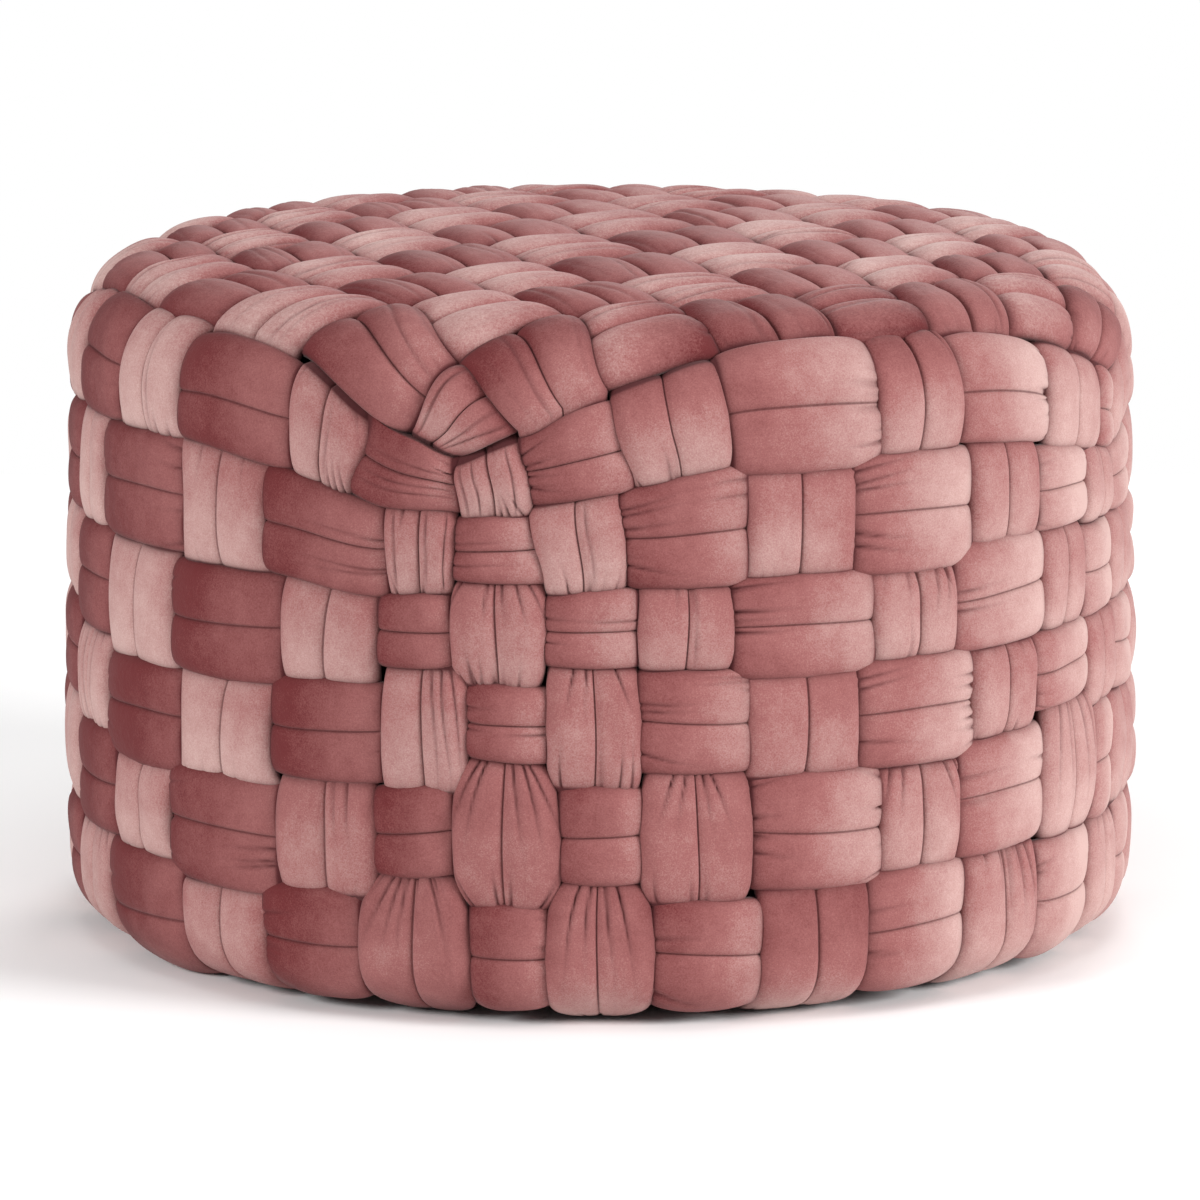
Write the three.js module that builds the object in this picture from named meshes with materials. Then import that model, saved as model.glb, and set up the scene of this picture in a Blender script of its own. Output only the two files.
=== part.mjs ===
// Round ottoman woven from padded velvet strips, in millimetres, +Z up, standing on z = 0.
//
// Eight strips run one way over the top and eight cross them. All sixteen hang down the side,
// where six hoops are woven through their ends. A stuffed round body fills the weave.
// Azimuth is measured in degrees from -Y, positive towards +X.
import * as THREE from "three";

// Driving dimensions of the woven skin, taken at the middle of its thickness
const SIDE_RADIUS = 282;
const TOP_HEIGHT = 360;
const BOTTOM_HEIGHT = 8;
const RIM_ROUNDING = 38;
const BASE_ROUNDING = 28;
const CROWN = 8;
const BELLY = 4.5;
const BELLY_LEAN = 1.6;

// Padded strip: half thicknesses, seam groove and the share of its cell that it fills
const PUFF = 7.2;
const HIDDEN_PUFF = 4.4;
const SEAM_DEPTH = 0.27;
const CHANNEL_CREST = 0.25;
const STRIP_FILL = 0.92;

// How far a strip's middle rises over a crossing and sinks under one
const RISE = 7.6;
const DIP = 7.0;

// Positions along one crossing, from its middle, where the strip has a section
const OVER_STEPS = [-0.5, -0.18, 0.18];
const UNDER_STEPS = [-0.5, 0];

// The weave: strips each way, and widths in degrees of the hanging strips, a row for each quarter
const STRIPS = 8;
const FIRST_CORNER = -14.5;
const QUARTERS = [
  { side: "front right", widths: [8.8, 9.4, 10.8, 13.2, 12.6, 11.6, 10.0, 9.6] },
  { side: "back right", widths: [9.6, 10.4, 11.7, 13.0, 13.3, 12.3, 10.7, 9.6] },
  { side: "back left", widths: [9.6, 10.6, 11.9, 13.2, 13.2, 12.0, 10.6, 9.6] },
  { side: "front left", widths: [9.1, 10.0, 11.4, 12.6, 13.4, 14.0, 11.7, 8.8] },
];

// Edges between the rows of the weave: how far each lies from the top's centre along the skin,
// midway between two corners of the square weave, and how much lower it hangs at a corner
const ROWS = [
  { edge: "rim", run: 267, sag: 38 },
  { edge: "band 1 to 2", run: 324, sag: 22 },
  { edge: "band 2 to 3", run: 384, sag: -2 },
  { edge: "band 3 to 4", run: 436, sag: -4 },
  { edge: "band 4 to 5", run: 489, sag: -6 },
  { edge: "band 5 to 6", run: 551, sag: -4 },
  { edge: "band 6 to base", run: 622, sag: 0 },
];
const BANDS = ROWS.length - 1;
const SAG_REACH = 32;
const SAG_SHARPNESS = 1.6;

// Strip ends turned in under the base, measured in rows past the last edge
const TAIL_STEPS = [0.22, 0.42];
const TAIL_PUFF = 3.8;
const TAIL_LIFT = 3.2;
const TAIL_DIP = 1.6;
const ROW_PAST_BASE = 60;

// Stuffed body inside the weave
const BODY_CLEARANCE = 13.2;
const BODY_SIDES = 48;
const BASE_PAD_RADIUS = 232;
const BASE_PAD_BEVEL = 4;

// Hand-woven unevenness: sideways sway in shares of a cell, and plumpness
const SWAY = 0.012;
const PLUMPNESS = 0.05;
const WAVE_PER_STRIP = 2.4;
const WAVE_PER_CROSSING = 1.7;

const DEGREES = Math.PI / 180;

// Azimuths of the edges between hanging strips: edge 0 is the first corner of the weave
function stripEdges() {
  const edges = [FIRST_CORNER];
  for (const quarter of QUARTERS) {
    for (const width of quarter.widths) {
      edges.push(edges[edges.length - 1] + width);
    }
  }
  const total = edges[edges.length - 1] - FIRST_CORNER;
  return edges.map((edge) => FIRST_CORNER + ((edge - FIRST_CORNER) * 360) / total);
}

const EDGES = stripEdges();
const COLUMNS = EDGES.length - 1;

// Azimuth at a place between two edges, going round any number of times
function azimuthAt(place) {
  const turns = Math.floor(place / COLUMNS);
  const within = place - turns * COLUMNS;
  const cell = Math.min(Math.floor(within), COLUMNS - 1);
  const share = within - cell;
  return EDGES[cell] + (EDGES[cell + 1] - EDGES[cell]) * share + 360 * turns;
}

// 1 at a corner of the square weave, falling to 0 at SAG_REACH degrees from it
function nearnessToCorner(azimuth) {
  let nearest = 180;
  for (let corner = 0; corner < COLUMNS; corner += STRIPS) {
    const turn = azimuth - EDGES[corner];
    const apart = Math.abs(turn - 360 * Math.round(turn / 360));
    nearest = Math.min(nearest, apart);
  }
  return Math.max(0, 1 - nearest / SAG_REACH) ** SAG_SHARPNESS;
}

// Distance from the top's centre along the skin to a place between two row edges
function runAt(row, azimuth) {
  const nearness = nearnessToCorner(azimuth);
  const edgeRun = (index) => ROWS[index].run + ROWS[index].sag * nearness;
  if (row >= BANDS) {
    return edgeRun(BANDS) + (row - BANDS) * ROW_PAST_BASE;
  }
  const cell = Math.floor(row);
  return edgeRun(cell) + (edgeRun(cell + 1) - edgeRun(cell)) * (row - cell);
}

// Distances along the skin where the flat top, the rim, the wall and the lower rounding end
const TOP_END = SIDE_RADIUS - RIM_ROUNDING;
const RIM_END = TOP_END + RIM_ROUNDING * Math.PI / 2;
const WALL_END = RIM_END + TOP_HEIGHT - RIM_ROUNDING - BOTTOM_HEIGHT - BASE_ROUNDING;
const ROUND_END = WALL_END + BASE_ROUNDING * Math.PI / 2;

// The skin's profile: a crowned top, a round rim, a slightly bellied side and a round lower edge
function profileAt(run) {
  if (run <= TOP_END) {
    const height = TOP_HEIGHT + CROWN * (1 - (run / TOP_END) ** 2);
    return { radius: run, height, out: 0, up: 1 };
  }
  if (run <= RIM_END) {
    const turn = (run - TOP_END) / RIM_ROUNDING;
    const radius = TOP_END + RIM_ROUNDING * Math.sin(turn);
    const height = TOP_HEIGHT - RIM_ROUNDING * (1 - Math.cos(turn));
    return { radius, height, out: Math.sin(turn), up: Math.cos(turn) };
  }
  if (run > ROUND_END) {
    const radius = SIDE_RADIUS - BASE_ROUNDING - (run - ROUND_END);
    return { radius, height: BOTTOM_HEIGHT, out: 0, up: -1 };
  }
  const descent = ((run - RIM_END) / (ROUND_END - RIM_END)) ** BELLY_LEAN;
  const belly = BELLY * Math.sin(Math.PI * descent);
  if (run <= WALL_END) {
    return { radius: SIDE_RADIUS + belly, height: TOP_HEIGHT - RIM_ROUNDING - (run - RIM_END), out: 1, up: 0 };
  }
  const turn = (run - WALL_END) / BASE_ROUNDING;
  const radius = SIDE_RADIUS + belly - BASE_ROUNDING * (1 - Math.cos(turn));
  const height = BOTTOM_HEIGHT + BASE_ROUNDING * (1 - Math.sin(turn));
  return { radius, height, out: Math.cos(turn), up: -Math.sin(turn) };
}

// Point at a height above the skin, for an azimuth and a distance along the skin
function skinPoint(azimuth, run, height) {
  const skin = profileAt(run);
  const radius = skin.radius + height * skin.out;
  return new THREE.Vector3(
    radius * Math.sin(azimuth * DEGREES),
    -radius * Math.cos(azimuth * DEGREES),
    skin.height + height * skin.up,
  );
}

// Place on the side: counted in hanging strips round it and in rows down it
function sidePlace(place, row) {
  const azimuth = azimuthAt(place);
  return { azimuth, run: runAt(row, azimuth) };
}

// Place on the rim's edge with the skin rolled out flat around the top's centre
function unrolled(place) {
  const { azimuth, run } = sidePlace(place, 0);
  return new THREE.Vector2(run * Math.sin(azimuth * DEGREES), -run * Math.cos(azimuth * DEGREES));
}

// Place on the top, counted in strips each way: a patch stretched between the four rim edges
function topPlace(across, back) {
  const u = across / STRIPS;
  const v = back / STRIPS;
  const front = unrolled(across);
  const rear = unrolled(3 * STRIPS - across);
  const left = unrolled(4 * STRIPS - back);
  const right = unrolled(STRIPS + back);
  const spot = front.multiplyScalar(1 - v);
  spot.addScaledVector(rear, v);
  spot.addScaledVector(left, 1 - u);
  spot.addScaledVector(right, u);
  spot.addScaledVector(unrolled(0), -(1 - u) * (1 - v));
  spot.addScaledVector(unrolled(STRIPS), -u * (1 - v));
  spot.addScaledVector(unrolled(2 * STRIPS), -u * v);
  spot.addScaledVector(unrolled(3 * STRIPS), -(1 - u) * v);
  return { azimuth: Math.atan2(spot.x, -spot.y) / DEGREES, run: spot.length() };
}

// Place on the whole net: the square top with an arm of rows folded down from each of its sides
function netPlace(across, back) {
  if (back < 0) {
    return sidePlace(across, -back);
  }
  if (back > STRIPS) {
    return sidePlace(3 * STRIPS - across, back - STRIPS);
  }
  if (across < 0) {
    return sidePlace(4 * STRIPS - back, -across);
  }
  if (across > STRIPS) {
    return sidePlace(STRIPS + back, across - STRIPS);
  }
  return topPlace(across, back);
}

// Routes: the place on the net at a distance along a strip or hoop and a share across it
const ROUTES = {
  a: (index, along, across) => netPlace(index + 0.5 + across, STRIPS + BANDS - along),
  b: (index, along, across) => netPlace(along - BANDS, index + 0.5 + across),
  band: (index, along, across) => sidePlace(along, index + 0.5 - across),
};

// Whether a strip lies on top at a crossing; neighbours along and across take turns
const PARITY = {
  a: (index, crossing) => (index + crossing) % 2 === 0,
  b: (index, crossing) => (index + crossing) % 2 === 0,
  band: (index, crossing) => (index + crossing) % 2 === 1,
};

// Sections of one strip: where it is along its route, how far its middle rises, and its plumpness
function sectionsOf(isOver, crossings, closed) {
  const sections = [];
  const edge = { rise: 0, puff: HIDDEN_PUFF };
  for (let crossing = 0; crossing < crossings; crossing += 1) {
    const over = isOver(crossing);
    const steps = over ? OVER_STEPS : UNDER_STEPS;
    const middle = over ? { rise: RISE, puff: PUFF } : { rise: -DIP, puff: HIDDEN_PUFF };
    for (const step of steps) {
      const shape = step === -0.5 ? edge : middle;
      sections.push({ along: crossing + 0.5 + step, ...shape });
    }
  }
  if (!closed) {
    const tail = (crossing) => ({ rise: isOver(crossing) ? TAIL_LIFT : -TAIL_DIP, puff: TAIL_PUFF });
    const first = tail(0);
    const last = tail(crossings - 1);
    sections[0] = { along: 0, ...first };
    sections.push({ along: crossings, ...last });
    for (const step of TAIL_STEPS) {
      sections.unshift({ along: -step, ...first });
      sections.push({ along: crossings + step, ...last });
    }
  }
  return sections;
}

// The two soft channels: across the strip from one edge over the crests and seam to the other
function outline(puff) {
  const half = STRIP_FILL / 2;
  return [
    { across: -half, height: 0 },
    { across: -CHANNEL_CREST, height: puff },
    { across: 0, height: puff * (1 - SEAM_DEPTH) },
    { across: CHANNEL_CREST, height: puff },
    { across: half, height: 0 },
    { across: 0, height: -puff },
  ];
}

// One padded strip as a closed solid, its rings of points joined along the route
function stripGeometry(route, index, isOver, crossings, closed) {
  const sections = sectionsOf((crossing) => isOver(index, crossing), crossings, closed);
  const positions = [];
  for (const section of sections) {
    const wave = Math.sin(WAVE_PER_STRIP * index + WAVE_PER_CROSSING * section.along);
    const puff = section.puff * (1 + PLUMPNESS * Math.min(0, wave));
    for (const point of outline(puff)) {
      const place = route(index, section.along, point.across + SWAY * wave);
      positions.push(...skinPoint(place.azimuth, place.run, section.rise + point.height).toArray());
    }
  }
  const sides = outline(0).length;
  const rings = sections.length;
  const faces = [];
  const joined = closed ? rings : rings - 1;
  for (let ring = 0; ring < joined; ring += 1) {
    const next = (ring + 1) % rings;
    for (let side = 0; side < sides; side += 1) {
      const beside = (side + 1) % sides;
      const corners = [ring * sides + side, next * sides + side, next * sides + beside, ring * sides + beside];
      faces.push(corners[0], corners[1], corners[2]);
      faces.push(corners[0], corners[2], corners[3]);
    }
  }
  if (!closed) {
    const last = (rings - 1) * sides;
    for (let side = 1; side < sides - 1; side += 1) {
      faces.push(0, side, side + 1);
      faces.push(last, last + side + 1, last + side);
    }
  }
  const geometry = new THREE.BufferGeometry();
  geometry.setAttribute("position", new THREE.Float32BufferAttribute(positions, 3));
  geometry.setIndex(outward(positions, faces));
  geometry.computeVertexNormals();
  return geometry;
}

// The same faces, turned round if they enclose a negative volume
function outward(positions, faces) {
  const corner = (index) => new THREE.Vector3().fromArray(positions, 3 * index);
  let volume = 0;
  for (let face = 0; face < faces.length; face += 3) {
    const [a, b, c] = [corner(faces[face]), corner(faces[face + 1]), corner(faces[face + 2])];
    volume += a.dot(b.cross(c)) / 6;
  }
  if (volume > 0) {
    return faces;
  }
  return faces.map((value, place) => faces[place - (place % 3) + (2 - (place % 3))]);
}

// The stuffed body: the skin's profile moved inwards, with a flat pad to stand on
function bodyGeometry() {
  const profile = [new THREE.Vector2(0, 0)];
  profile.push(new THREE.Vector2(BASE_PAD_RADIUS - BASE_PAD_BEVEL, 0));
  profile.push(new THREE.Vector2(BASE_PAD_RADIUS, BASE_PAD_BEVEL));
  const padRun = ROUND_END + SIDE_RADIUS - BASE_ROUNDING - BASE_PAD_RADIUS;
  const runs = [padRun, ROUND_END, (ROUND_END + WALL_END) / 2, WALL_END];
  runs.push((2 * WALL_END + RIM_END) / 3, (WALL_END + 2 * RIM_END) / 3, RIM_END);
  runs.push((2 * RIM_END + TOP_END) / 3, (RIM_END + 2 * TOP_END) / 3, TOP_END, TOP_END / 2);
  for (const run of runs) {
    const skin = profileAt(run);
    const radius = skin.radius - BODY_CLEARANCE * skin.out;
    profile.push(new THREE.Vector2(radius, skin.height - BODY_CLEARANCE * skin.up));
  }
  profile.push(new THREE.Vector2(0, TOP_HEIGHT + CROWN - BODY_CLEARANCE));
  const geometry = new THREE.LatheGeometry(profile, BODY_SIDES);
  geometry.rotateX(Math.PI / 2);
  return geometry;
}

// Dusty pink velvet, whose nap looks dark along one way of the weave and light along the other
const velvet = (colour) => new THREE.MeshStandardMaterial({ color: colour, roughness: 0.85, metalness: 0 });
const MATERIALS = {
  a: velvet(0x9c6262),
  b: velvet(0xbd8480),
  band: velvet(0xa86d6c),
  body: velvet(0x5e3838),
};

const ottoman = new THREE.Group();

function addPiece(name, geometry, material) {
  const mesh = new THREE.Mesh(geometry, material);
  mesh.name = name;
  ottoman.add(mesh);
}

for (const way of ["a", "b"]) {
  for (let index = 0; index < STRIPS; index += 1) {
    const geometry = stripGeometry(ROUTES[way], index, PARITY[way], STRIPS + 2 * BANDS, false);
    addPiece(`strip_${way}_${index + 1}`, geometry, MATERIALS[way]);
  }
}
for (let index = 0; index < BANDS; index += 1) {
  const geometry = stripGeometry(ROUTES.band, index, PARITY.band, COLUMNS, true);
  addPiece(`band_${index + 1}`, geometry, MATERIALS.band);
}
addPiece("stuffed_body", bodyGeometry(), MATERIALS.body);

export default ottoman;
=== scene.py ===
# %% [markdown]
# # A round ottoman woven from padded velvet strips
# The real thing is a stuffed round body dressed in a basket weave. Flat tubes of velvet are filled,
# sewn down their middle, and woven: eight one way over the top, eight the other way, and six hoops
# through the ends that hang down the side. One could weave straight ropes and let a cloth
# simulation settle them, but hundreds of contacts make that slow and unsure. Here every strip is a
# surface worked out with numpy: a soft section carried along its route over and under the others.

import bpy
import numpy as np
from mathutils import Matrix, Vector


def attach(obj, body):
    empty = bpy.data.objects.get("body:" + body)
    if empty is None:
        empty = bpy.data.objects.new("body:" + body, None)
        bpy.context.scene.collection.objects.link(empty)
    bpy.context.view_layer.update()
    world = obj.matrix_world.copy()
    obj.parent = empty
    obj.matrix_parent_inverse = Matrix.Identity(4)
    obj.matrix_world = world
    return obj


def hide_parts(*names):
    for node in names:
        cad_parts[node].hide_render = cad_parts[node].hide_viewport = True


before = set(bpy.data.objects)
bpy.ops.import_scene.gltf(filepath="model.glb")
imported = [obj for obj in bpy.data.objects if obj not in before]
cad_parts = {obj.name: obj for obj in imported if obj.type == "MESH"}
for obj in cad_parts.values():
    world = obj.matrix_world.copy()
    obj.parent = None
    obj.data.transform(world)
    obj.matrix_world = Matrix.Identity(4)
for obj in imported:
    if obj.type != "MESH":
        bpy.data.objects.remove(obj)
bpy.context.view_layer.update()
MM = 0.001

# %% [markdown]
# ## The skin that carries the weave
# A woven cover has a middle surface: every strip rises a little above it where it passes over another
# and sinks below it where it passes under. Here that surface is a slightly crowned disc, a round rim,
# a side with a small belly and a round lower edge. It is a profile turned round the upright axis, so
# a point on it needs only an azimuth and a distance run from the top's centre along the profile.

# %% Skin sizes
SIDE_RADIUS = 282 * MM
TOP_HEIGHT = 360 * MM
BOTTOM_HEIGHT = 8 * MM
RIM_ROUNDING = 38 * MM
BASE_ROUNDING = 28 * MM
CROWN = 8 * MM
BELLY = 4.5 * MM
BELLY_LEAN = 1.6

TOP_END = SIDE_RADIUS - RIM_ROUNDING
RIM_END = TOP_END + RIM_ROUNDING * np.pi / 2
WALL_END = RIM_END + TOP_HEIGHT - RIM_ROUNDING - BOTTOM_HEIGHT - BASE_ROUNDING
ROUND_END = WALL_END + BASE_ROUNDING * np.pi / 2
print("the profile runs", round(ROUND_END / MM), "mm from the top's centre to the underside")

# %% Skin points
def profile_at(run):
    """Radius, height and outward direction of the profile at a distance run along it. The radius is
    the flat part run so far, plus the sine of the rim's turn, plus the belly's sine wave, less the
    cosine drop of the lower turn and less what has run back under the base. The height falls by the
    same turns' cosine and sine and by the wall run so far."""
    flat = np.minimum(run, TOP_END)
    rim_turn = np.clip((run - TOP_END) / RIM_ROUNDING, 0, np.pi / 2)
    wall = np.clip(run - RIM_END, 0, WALL_END - RIM_END)
    base_turn = np.clip((run - WALL_END) / BASE_ROUNDING, 0, np.pi / 2)
    under = np.maximum(run - ROUND_END, 0)
    descent = np.clip((run - RIM_END) / (ROUND_END - RIM_END), 0, 1) ** BELLY_LEAN
    radius = flat + RIM_ROUNDING * np.sin(rim_turn) + BELLY * np.sin(np.pi * descent)
    radius = radius - BASE_ROUNDING * (1 - np.cos(base_turn)) - under
    height = TOP_HEIGHT + CROWN * (1 - (flat / TOP_END) ** 2) - wall
    height = height - RIM_ROUNDING * (1 - np.cos(rim_turn)) - BASE_ROUNDING * np.sin(base_turn)
    out = np.sin(rim_turn) * np.cos(base_turn)
    up = np.cos(rim_turn) - np.sin(base_turn)
    return radius, height, out, up


def skin_point(azimuth, run, lift):
    """Point at a lift above the skin. Azimuth is in degrees from -Y towards +X, so x is the radius
    times its sine, y is minus the radius times its cosine, and the lift follows the profile's normal."""
    radius, height, out, up = profile_at(run)
    reach = radius + lift * out
    turn = np.radians(azimuth)
    return np.stack([reach * np.sin(turn), -reach * np.cos(turn), height + lift * up], axis=-1)


# %% [markdown]
# ## The net of the weave
# The top is a square weave of eight by eight cells stretched to a disc. Its corners show as four
# places on the rim where the strips droop. From each side of the square an arm of six rows hangs
# down the side. The strips' widths round the side and the rows' edges down it are the cover's own
# uneven measures, so both are short tables. A place on the net is then turned into a place on the
# skin by interpolation, and on the top by a patch stretched between the rim's four sides.

# %% Net sizes
STRIPS = 8
FIRST_CORNER = -14.5
QUARTER_WIDTHS = {
    "front right": [8.8, 9.4, 10.8, 13.2, 12.6, 11.6, 10.0, 9.6],
    "back right": [9.6, 10.4, 11.7, 13.0, 13.3, 12.3, 10.7, 9.6],
    "back left": [9.6, 10.6, 11.9, 13.2, 13.2, 12.0, 10.6, 9.6],
    "front left": [9.1, 10.0, 11.4, 12.6, 13.4, 14.0, 11.7, 8.8],
}
ROW_EDGES = {
    "rim": {"run": 267, "sag": 38},
    "band 1 to 2": {"run": 324, "sag": 22},
    "band 2 to 3": {"run": 384, "sag": -2},
    "band 3 to 4": {"run": 436, "sag": -4},
    "band 4 to 5": {"run": 489, "sag": -6},
    "band 5 to 6": {"run": 551, "sag": -4},
    "band 6 to base": {"run": 622, "sag": 0},
}
SAG_REACH = 32
SAG_SHARPNESS = 1.6
ROW_PAST_BASE = 60 * MM

ALL_WIDTHS = np.concatenate(list(QUARTER_WIDTHS.values()))
COLUMNS = len(ALL_WIDTHS)
EDGES = FIRST_CORNER + np.concatenate([[0], np.cumsum(ALL_WIDTHS)]) * 360 / ALL_WIDTHS.sum()
ROW_RUNS = np.array([edge["run"] for edge in ROW_EDGES.values()]) * MM
ROW_SAGS = np.array([edge["sag"] for edge in ROW_EDGES.values()]) * MM
BANDS = len(ROW_RUNS) - 1
print(COLUMNS, "hanging strips round the side,", BANDS, "hoops")

# %% [markdown]
# ## Hand-woven unevenness
# No two cells of a hand weave are alike. Where the photograph shows an edge crossing away from the
# even net, it is moved as listed: so many millimetres aside, towards +X at the front, and so many
# down the skin. The strips at the front corner, for instance, are drawn together and droop.

# %% Moves of edge crossings
def table(columns, *rows):
    """Rows of a given list as dictionaries, with the columns' names given once."""
    return [dict(zip(columns.split(), row)) for row in rows]


SIDE_SPOTS = table(
    "place row aside down",
    (0, 0, -4, 14),
    (1, 0, -14, 14),
    (2, 0, -16, 9),
    (3, 0, -6, 2),
    (-1, 0, 14, 18),
    (0, 1, 0, 2),
    (1, 1, -8, 7),
    (2, 1, -4, 5),
    (-1, 1, -2, 9),
    (-2, 1, 0, 4),
    (0, 2, -2, 5),
    (1, 2, 1, 4),
    (-1, 2, 1, 7),
)
TOP_SPOTS = table("across back aside down", (1, 1, -5, 14))


def move_of(spot):
    """A listed move as degrees round the side and metres down the skin."""
    return np.degrees(spot["aside"] * MM / SIDE_RADIUS), spot["down"] * MM


def move_tables():
    """One table of sideways degrees and run for the side's edge crossings, and one for the top's, whose
    rim repeats the side's first row."""
    side = np.zeros((COLUMNS + 1, BANDS + 1, 2))
    for spot in SIDE_SPOTS:
        side[spot["place"] % COLUMNS, spot["row"]] = move_of(spot)
    side[COLUMNS] = side[0]
    top = np.zeros((STRIPS + 1, STRIPS + 1, 2))
    for spot in TOP_SPOTS:
        top[spot["across"], spot["back"]] = move_of(spot)
    place = np.arange(STRIPS + 1)
    top[:, 0] = side[place, 0]
    top[STRIPS, :] = side[STRIPS + place, 0]
    top[:, STRIPS] = side[3 * STRIPS - place, 0]
    top[0, :] = side[4 * STRIPS - place, 0]
    return side, top


SIDE_MOVES, TOP_MOVES = move_tables()
print(len(SIDE_SPOTS) + len(TOP_SPOTS), "edge crossings moved by hand")

# %% Places on the side
def between(share):
    """Smooth step from nothing to one: three times the square less twice the cube."""
    return share * share * (3 - 2 * share)


def azimuth_at(place):
    """Azimuth of a place counted in hanging strips: linear between the strips' edges, for any turns."""
    turns = np.floor(place / COLUMNS)
    return np.interp(place - turns * COLUMNS, np.arange(COLUMNS + 1), EDGES) + 360 * turns


def moved(moves, first, second):
    """Sideways turn and run added at a place: the moves of the four crossings of edges round it,
    blended by smooth steps both ways."""
    low_first = np.clip(np.floor(first).astype(int), 0, moves.shape[0] - 2)
    low_second = np.clip(np.floor(second).astype(int), 0, moves.shape[1] - 2)
    share_first = between(np.clip(first - low_first, 0, 1))
    share_second = between(np.clip(second - low_second, 0, 1))
    total = 0
    for step_first, weight_first in ((0, 1 - share_first), (1, share_first)):
        for step_second, weight_second in ((0, 1 - share_second), (1, share_second)):
            corner = moves[low_first + step_first, low_second + step_second]
            total = total + (weight_first * weight_second)[..., None] * corner
    return total[..., 0], total[..., 1]


def nearness_to_corner(azimuth):
    """One at a corner of the square weave, falling to nothing at SAG_REACH degrees from it."""
    turn = np.asarray(azimuth)[..., None] - EDGES[:COLUMNS:STRIPS]
    apart = np.abs(turn - 360 * np.round(turn / 360)).min(axis=-1)
    return np.clip(1 - apart / SAG_REACH, 0, 1) ** SAG_SHARPNESS


def even_place(place, row):
    """Azimuth and run of a place on the side: the run is linear between the row edges, each lower by
    its sag near a corner."""
    azimuth = azimuth_at(place)
    count = np.arange(BANDS + 1)
    run = np.interp(row, count, ROW_RUNS) + nearness_to_corner(azimuth) * np.interp(row, count, ROW_SAGS)
    return azimuth, run + np.maximum(row - BANDS, 0) * ROW_PAST_BASE


def side_place(place, row):
    """A place on the side, with the moves of its cell's four corners added."""
    azimuth, run = even_place(place, row)
    aside, down = moved(SIDE_MOVES, place % COLUMNS, np.clip(row, 0, BANDS))
    return azimuth + aside, run + down


# %% Places on the top and the whole net
def unrolled(place):
    """The rim's edge at a place, with the skin rolled out flat round the top's centre."""
    azimuth, run = even_place(place, np.zeros_like(place))
    turn = np.radians(azimuth)
    return np.stack([run * np.sin(turn), -run * np.cos(turn)], axis=-1)


def top_place(across, back):
    """A patch stretched between the rim's four sides: the blend of front and rear, plus the blend of
    left and right, less the blend of the four corners."""
    u = (across / STRIPS)[..., None]
    v = (back / STRIPS)[..., None]
    spot = (1 - v) * unrolled(across) + v * unrolled(3 * STRIPS - across)
    spot = spot + (1 - u) * unrolled(4 * STRIPS - back) + u * unrolled(STRIPS + back)
    corners = unrolled(np.arange(4.0) * STRIPS)
    spot = spot - (1 - u) * (1 - v) * corners[0] - u * (1 - v) * corners[1]
    spot = spot - u * v * corners[2] - (1 - u) * v * corners[3]
    azimuth = np.degrees(np.arctan2(spot[..., 0], -spot[..., 1]))
    run = np.hypot(spot[..., 0], spot[..., 1])
    aside, down = moved(TOP_MOVES, across, back)
    return azimuth + aside, run + down


def net_place(across, back):
    """A place on the whole net: the square top, or the arm of rows folded down from one of its sides."""
    across, back = np.broadcast_arrays(across, back)
    azimuth, run = top_place(np.clip(across, 0, STRIPS), np.clip(back, 0, STRIPS))
    arms = [
        (STRIPS + back, across - STRIPS),
        (4 * STRIPS - back, -across),
        (3 * STRIPS - across, back - STRIPS),
        (across, -back),
    ]
    furthest = np.max([row for _, row in arms], axis=0)
    for place, row in arms:
        is_here = (row > 0) & (row == furthest)
        side_azimuth, side_run = side_place(place, np.maximum(row, 0))
        azimuth = np.where(is_here, side_azimuth, azimuth)
        run = np.where(is_here, side_run, run)
    return azimuth, run


# %% Routes of the strips
CROSSINGS = {"a": STRIPS + 2 * BANDS, "b": STRIPS + 2 * BANDS, "band": COLUMNS}


def route_place(way, index, along, across):
    """Place on the skin for a distance along a strip, in crossings, and a share across it, in cells."""
    if way == "a":
        return net_place(index + 0.5 + across, STRIPS + BANDS - along)
    if way == "b":
        return net_place(along - BANDS, index + 0.5 + across)
    return side_place(*np.broadcast_arrays(along, index + 0.5 - across))


def lies_over(way, index, crossing):
    """Whether a strip lies on top at a crossing: neighbours along and across take turns."""
    return (index + crossing) % 2 == (1 if way == "band" else 0)


def hanging_cell(way, index, crossing):
    """Column of a strip's crossing on the side, and its band counted from one. On the top it is 0."""
    if way == "band":
        return crossing % COLUMNS, index + 1
    first_side = crossing < BANDS
    band = np.where(first_side, BANDS - crossing, np.maximum(crossing - BANDS - STRIPS + 1, 0))
    if way == "a":
        return np.where(first_side, 3 * STRIPS - 1 - index, index), band
    return np.where(first_side, COLUMNS - 1 - index, STRIPS + index), band


# %% [markdown]
# ## How wide each crossing lies
# A strip has one true width. Where the columns are wide a hanging strip leaves room beside it, and
# where they are narrow it is squeezed, except near the foot of the ottoman, where it spreads and
# pushes its neighbours in the hoop aside. The hoops change from over to under where the hanging
# strip's edge really is. A few seeded numbers make every crossing a little different.

# %% Widths
STRIP_WIDTH = 62 * MM
OVER_WIDTH = 0.53
UNDER_WIDTH = 0.47
END_WIDTH = 0.512
SPREAD_OF_BAND = np.array([0, 0, 0, 0.3, 0.05, 0.9, 1.0])
WIDTH_UNEVENNESS = 0.012


def column_width(column):
    """Width of a hanging strip's column, in metres round the side."""
    return np.radians(EDGES[column + 1] - EDGES[column]) * SIDE_RADIUS


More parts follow.
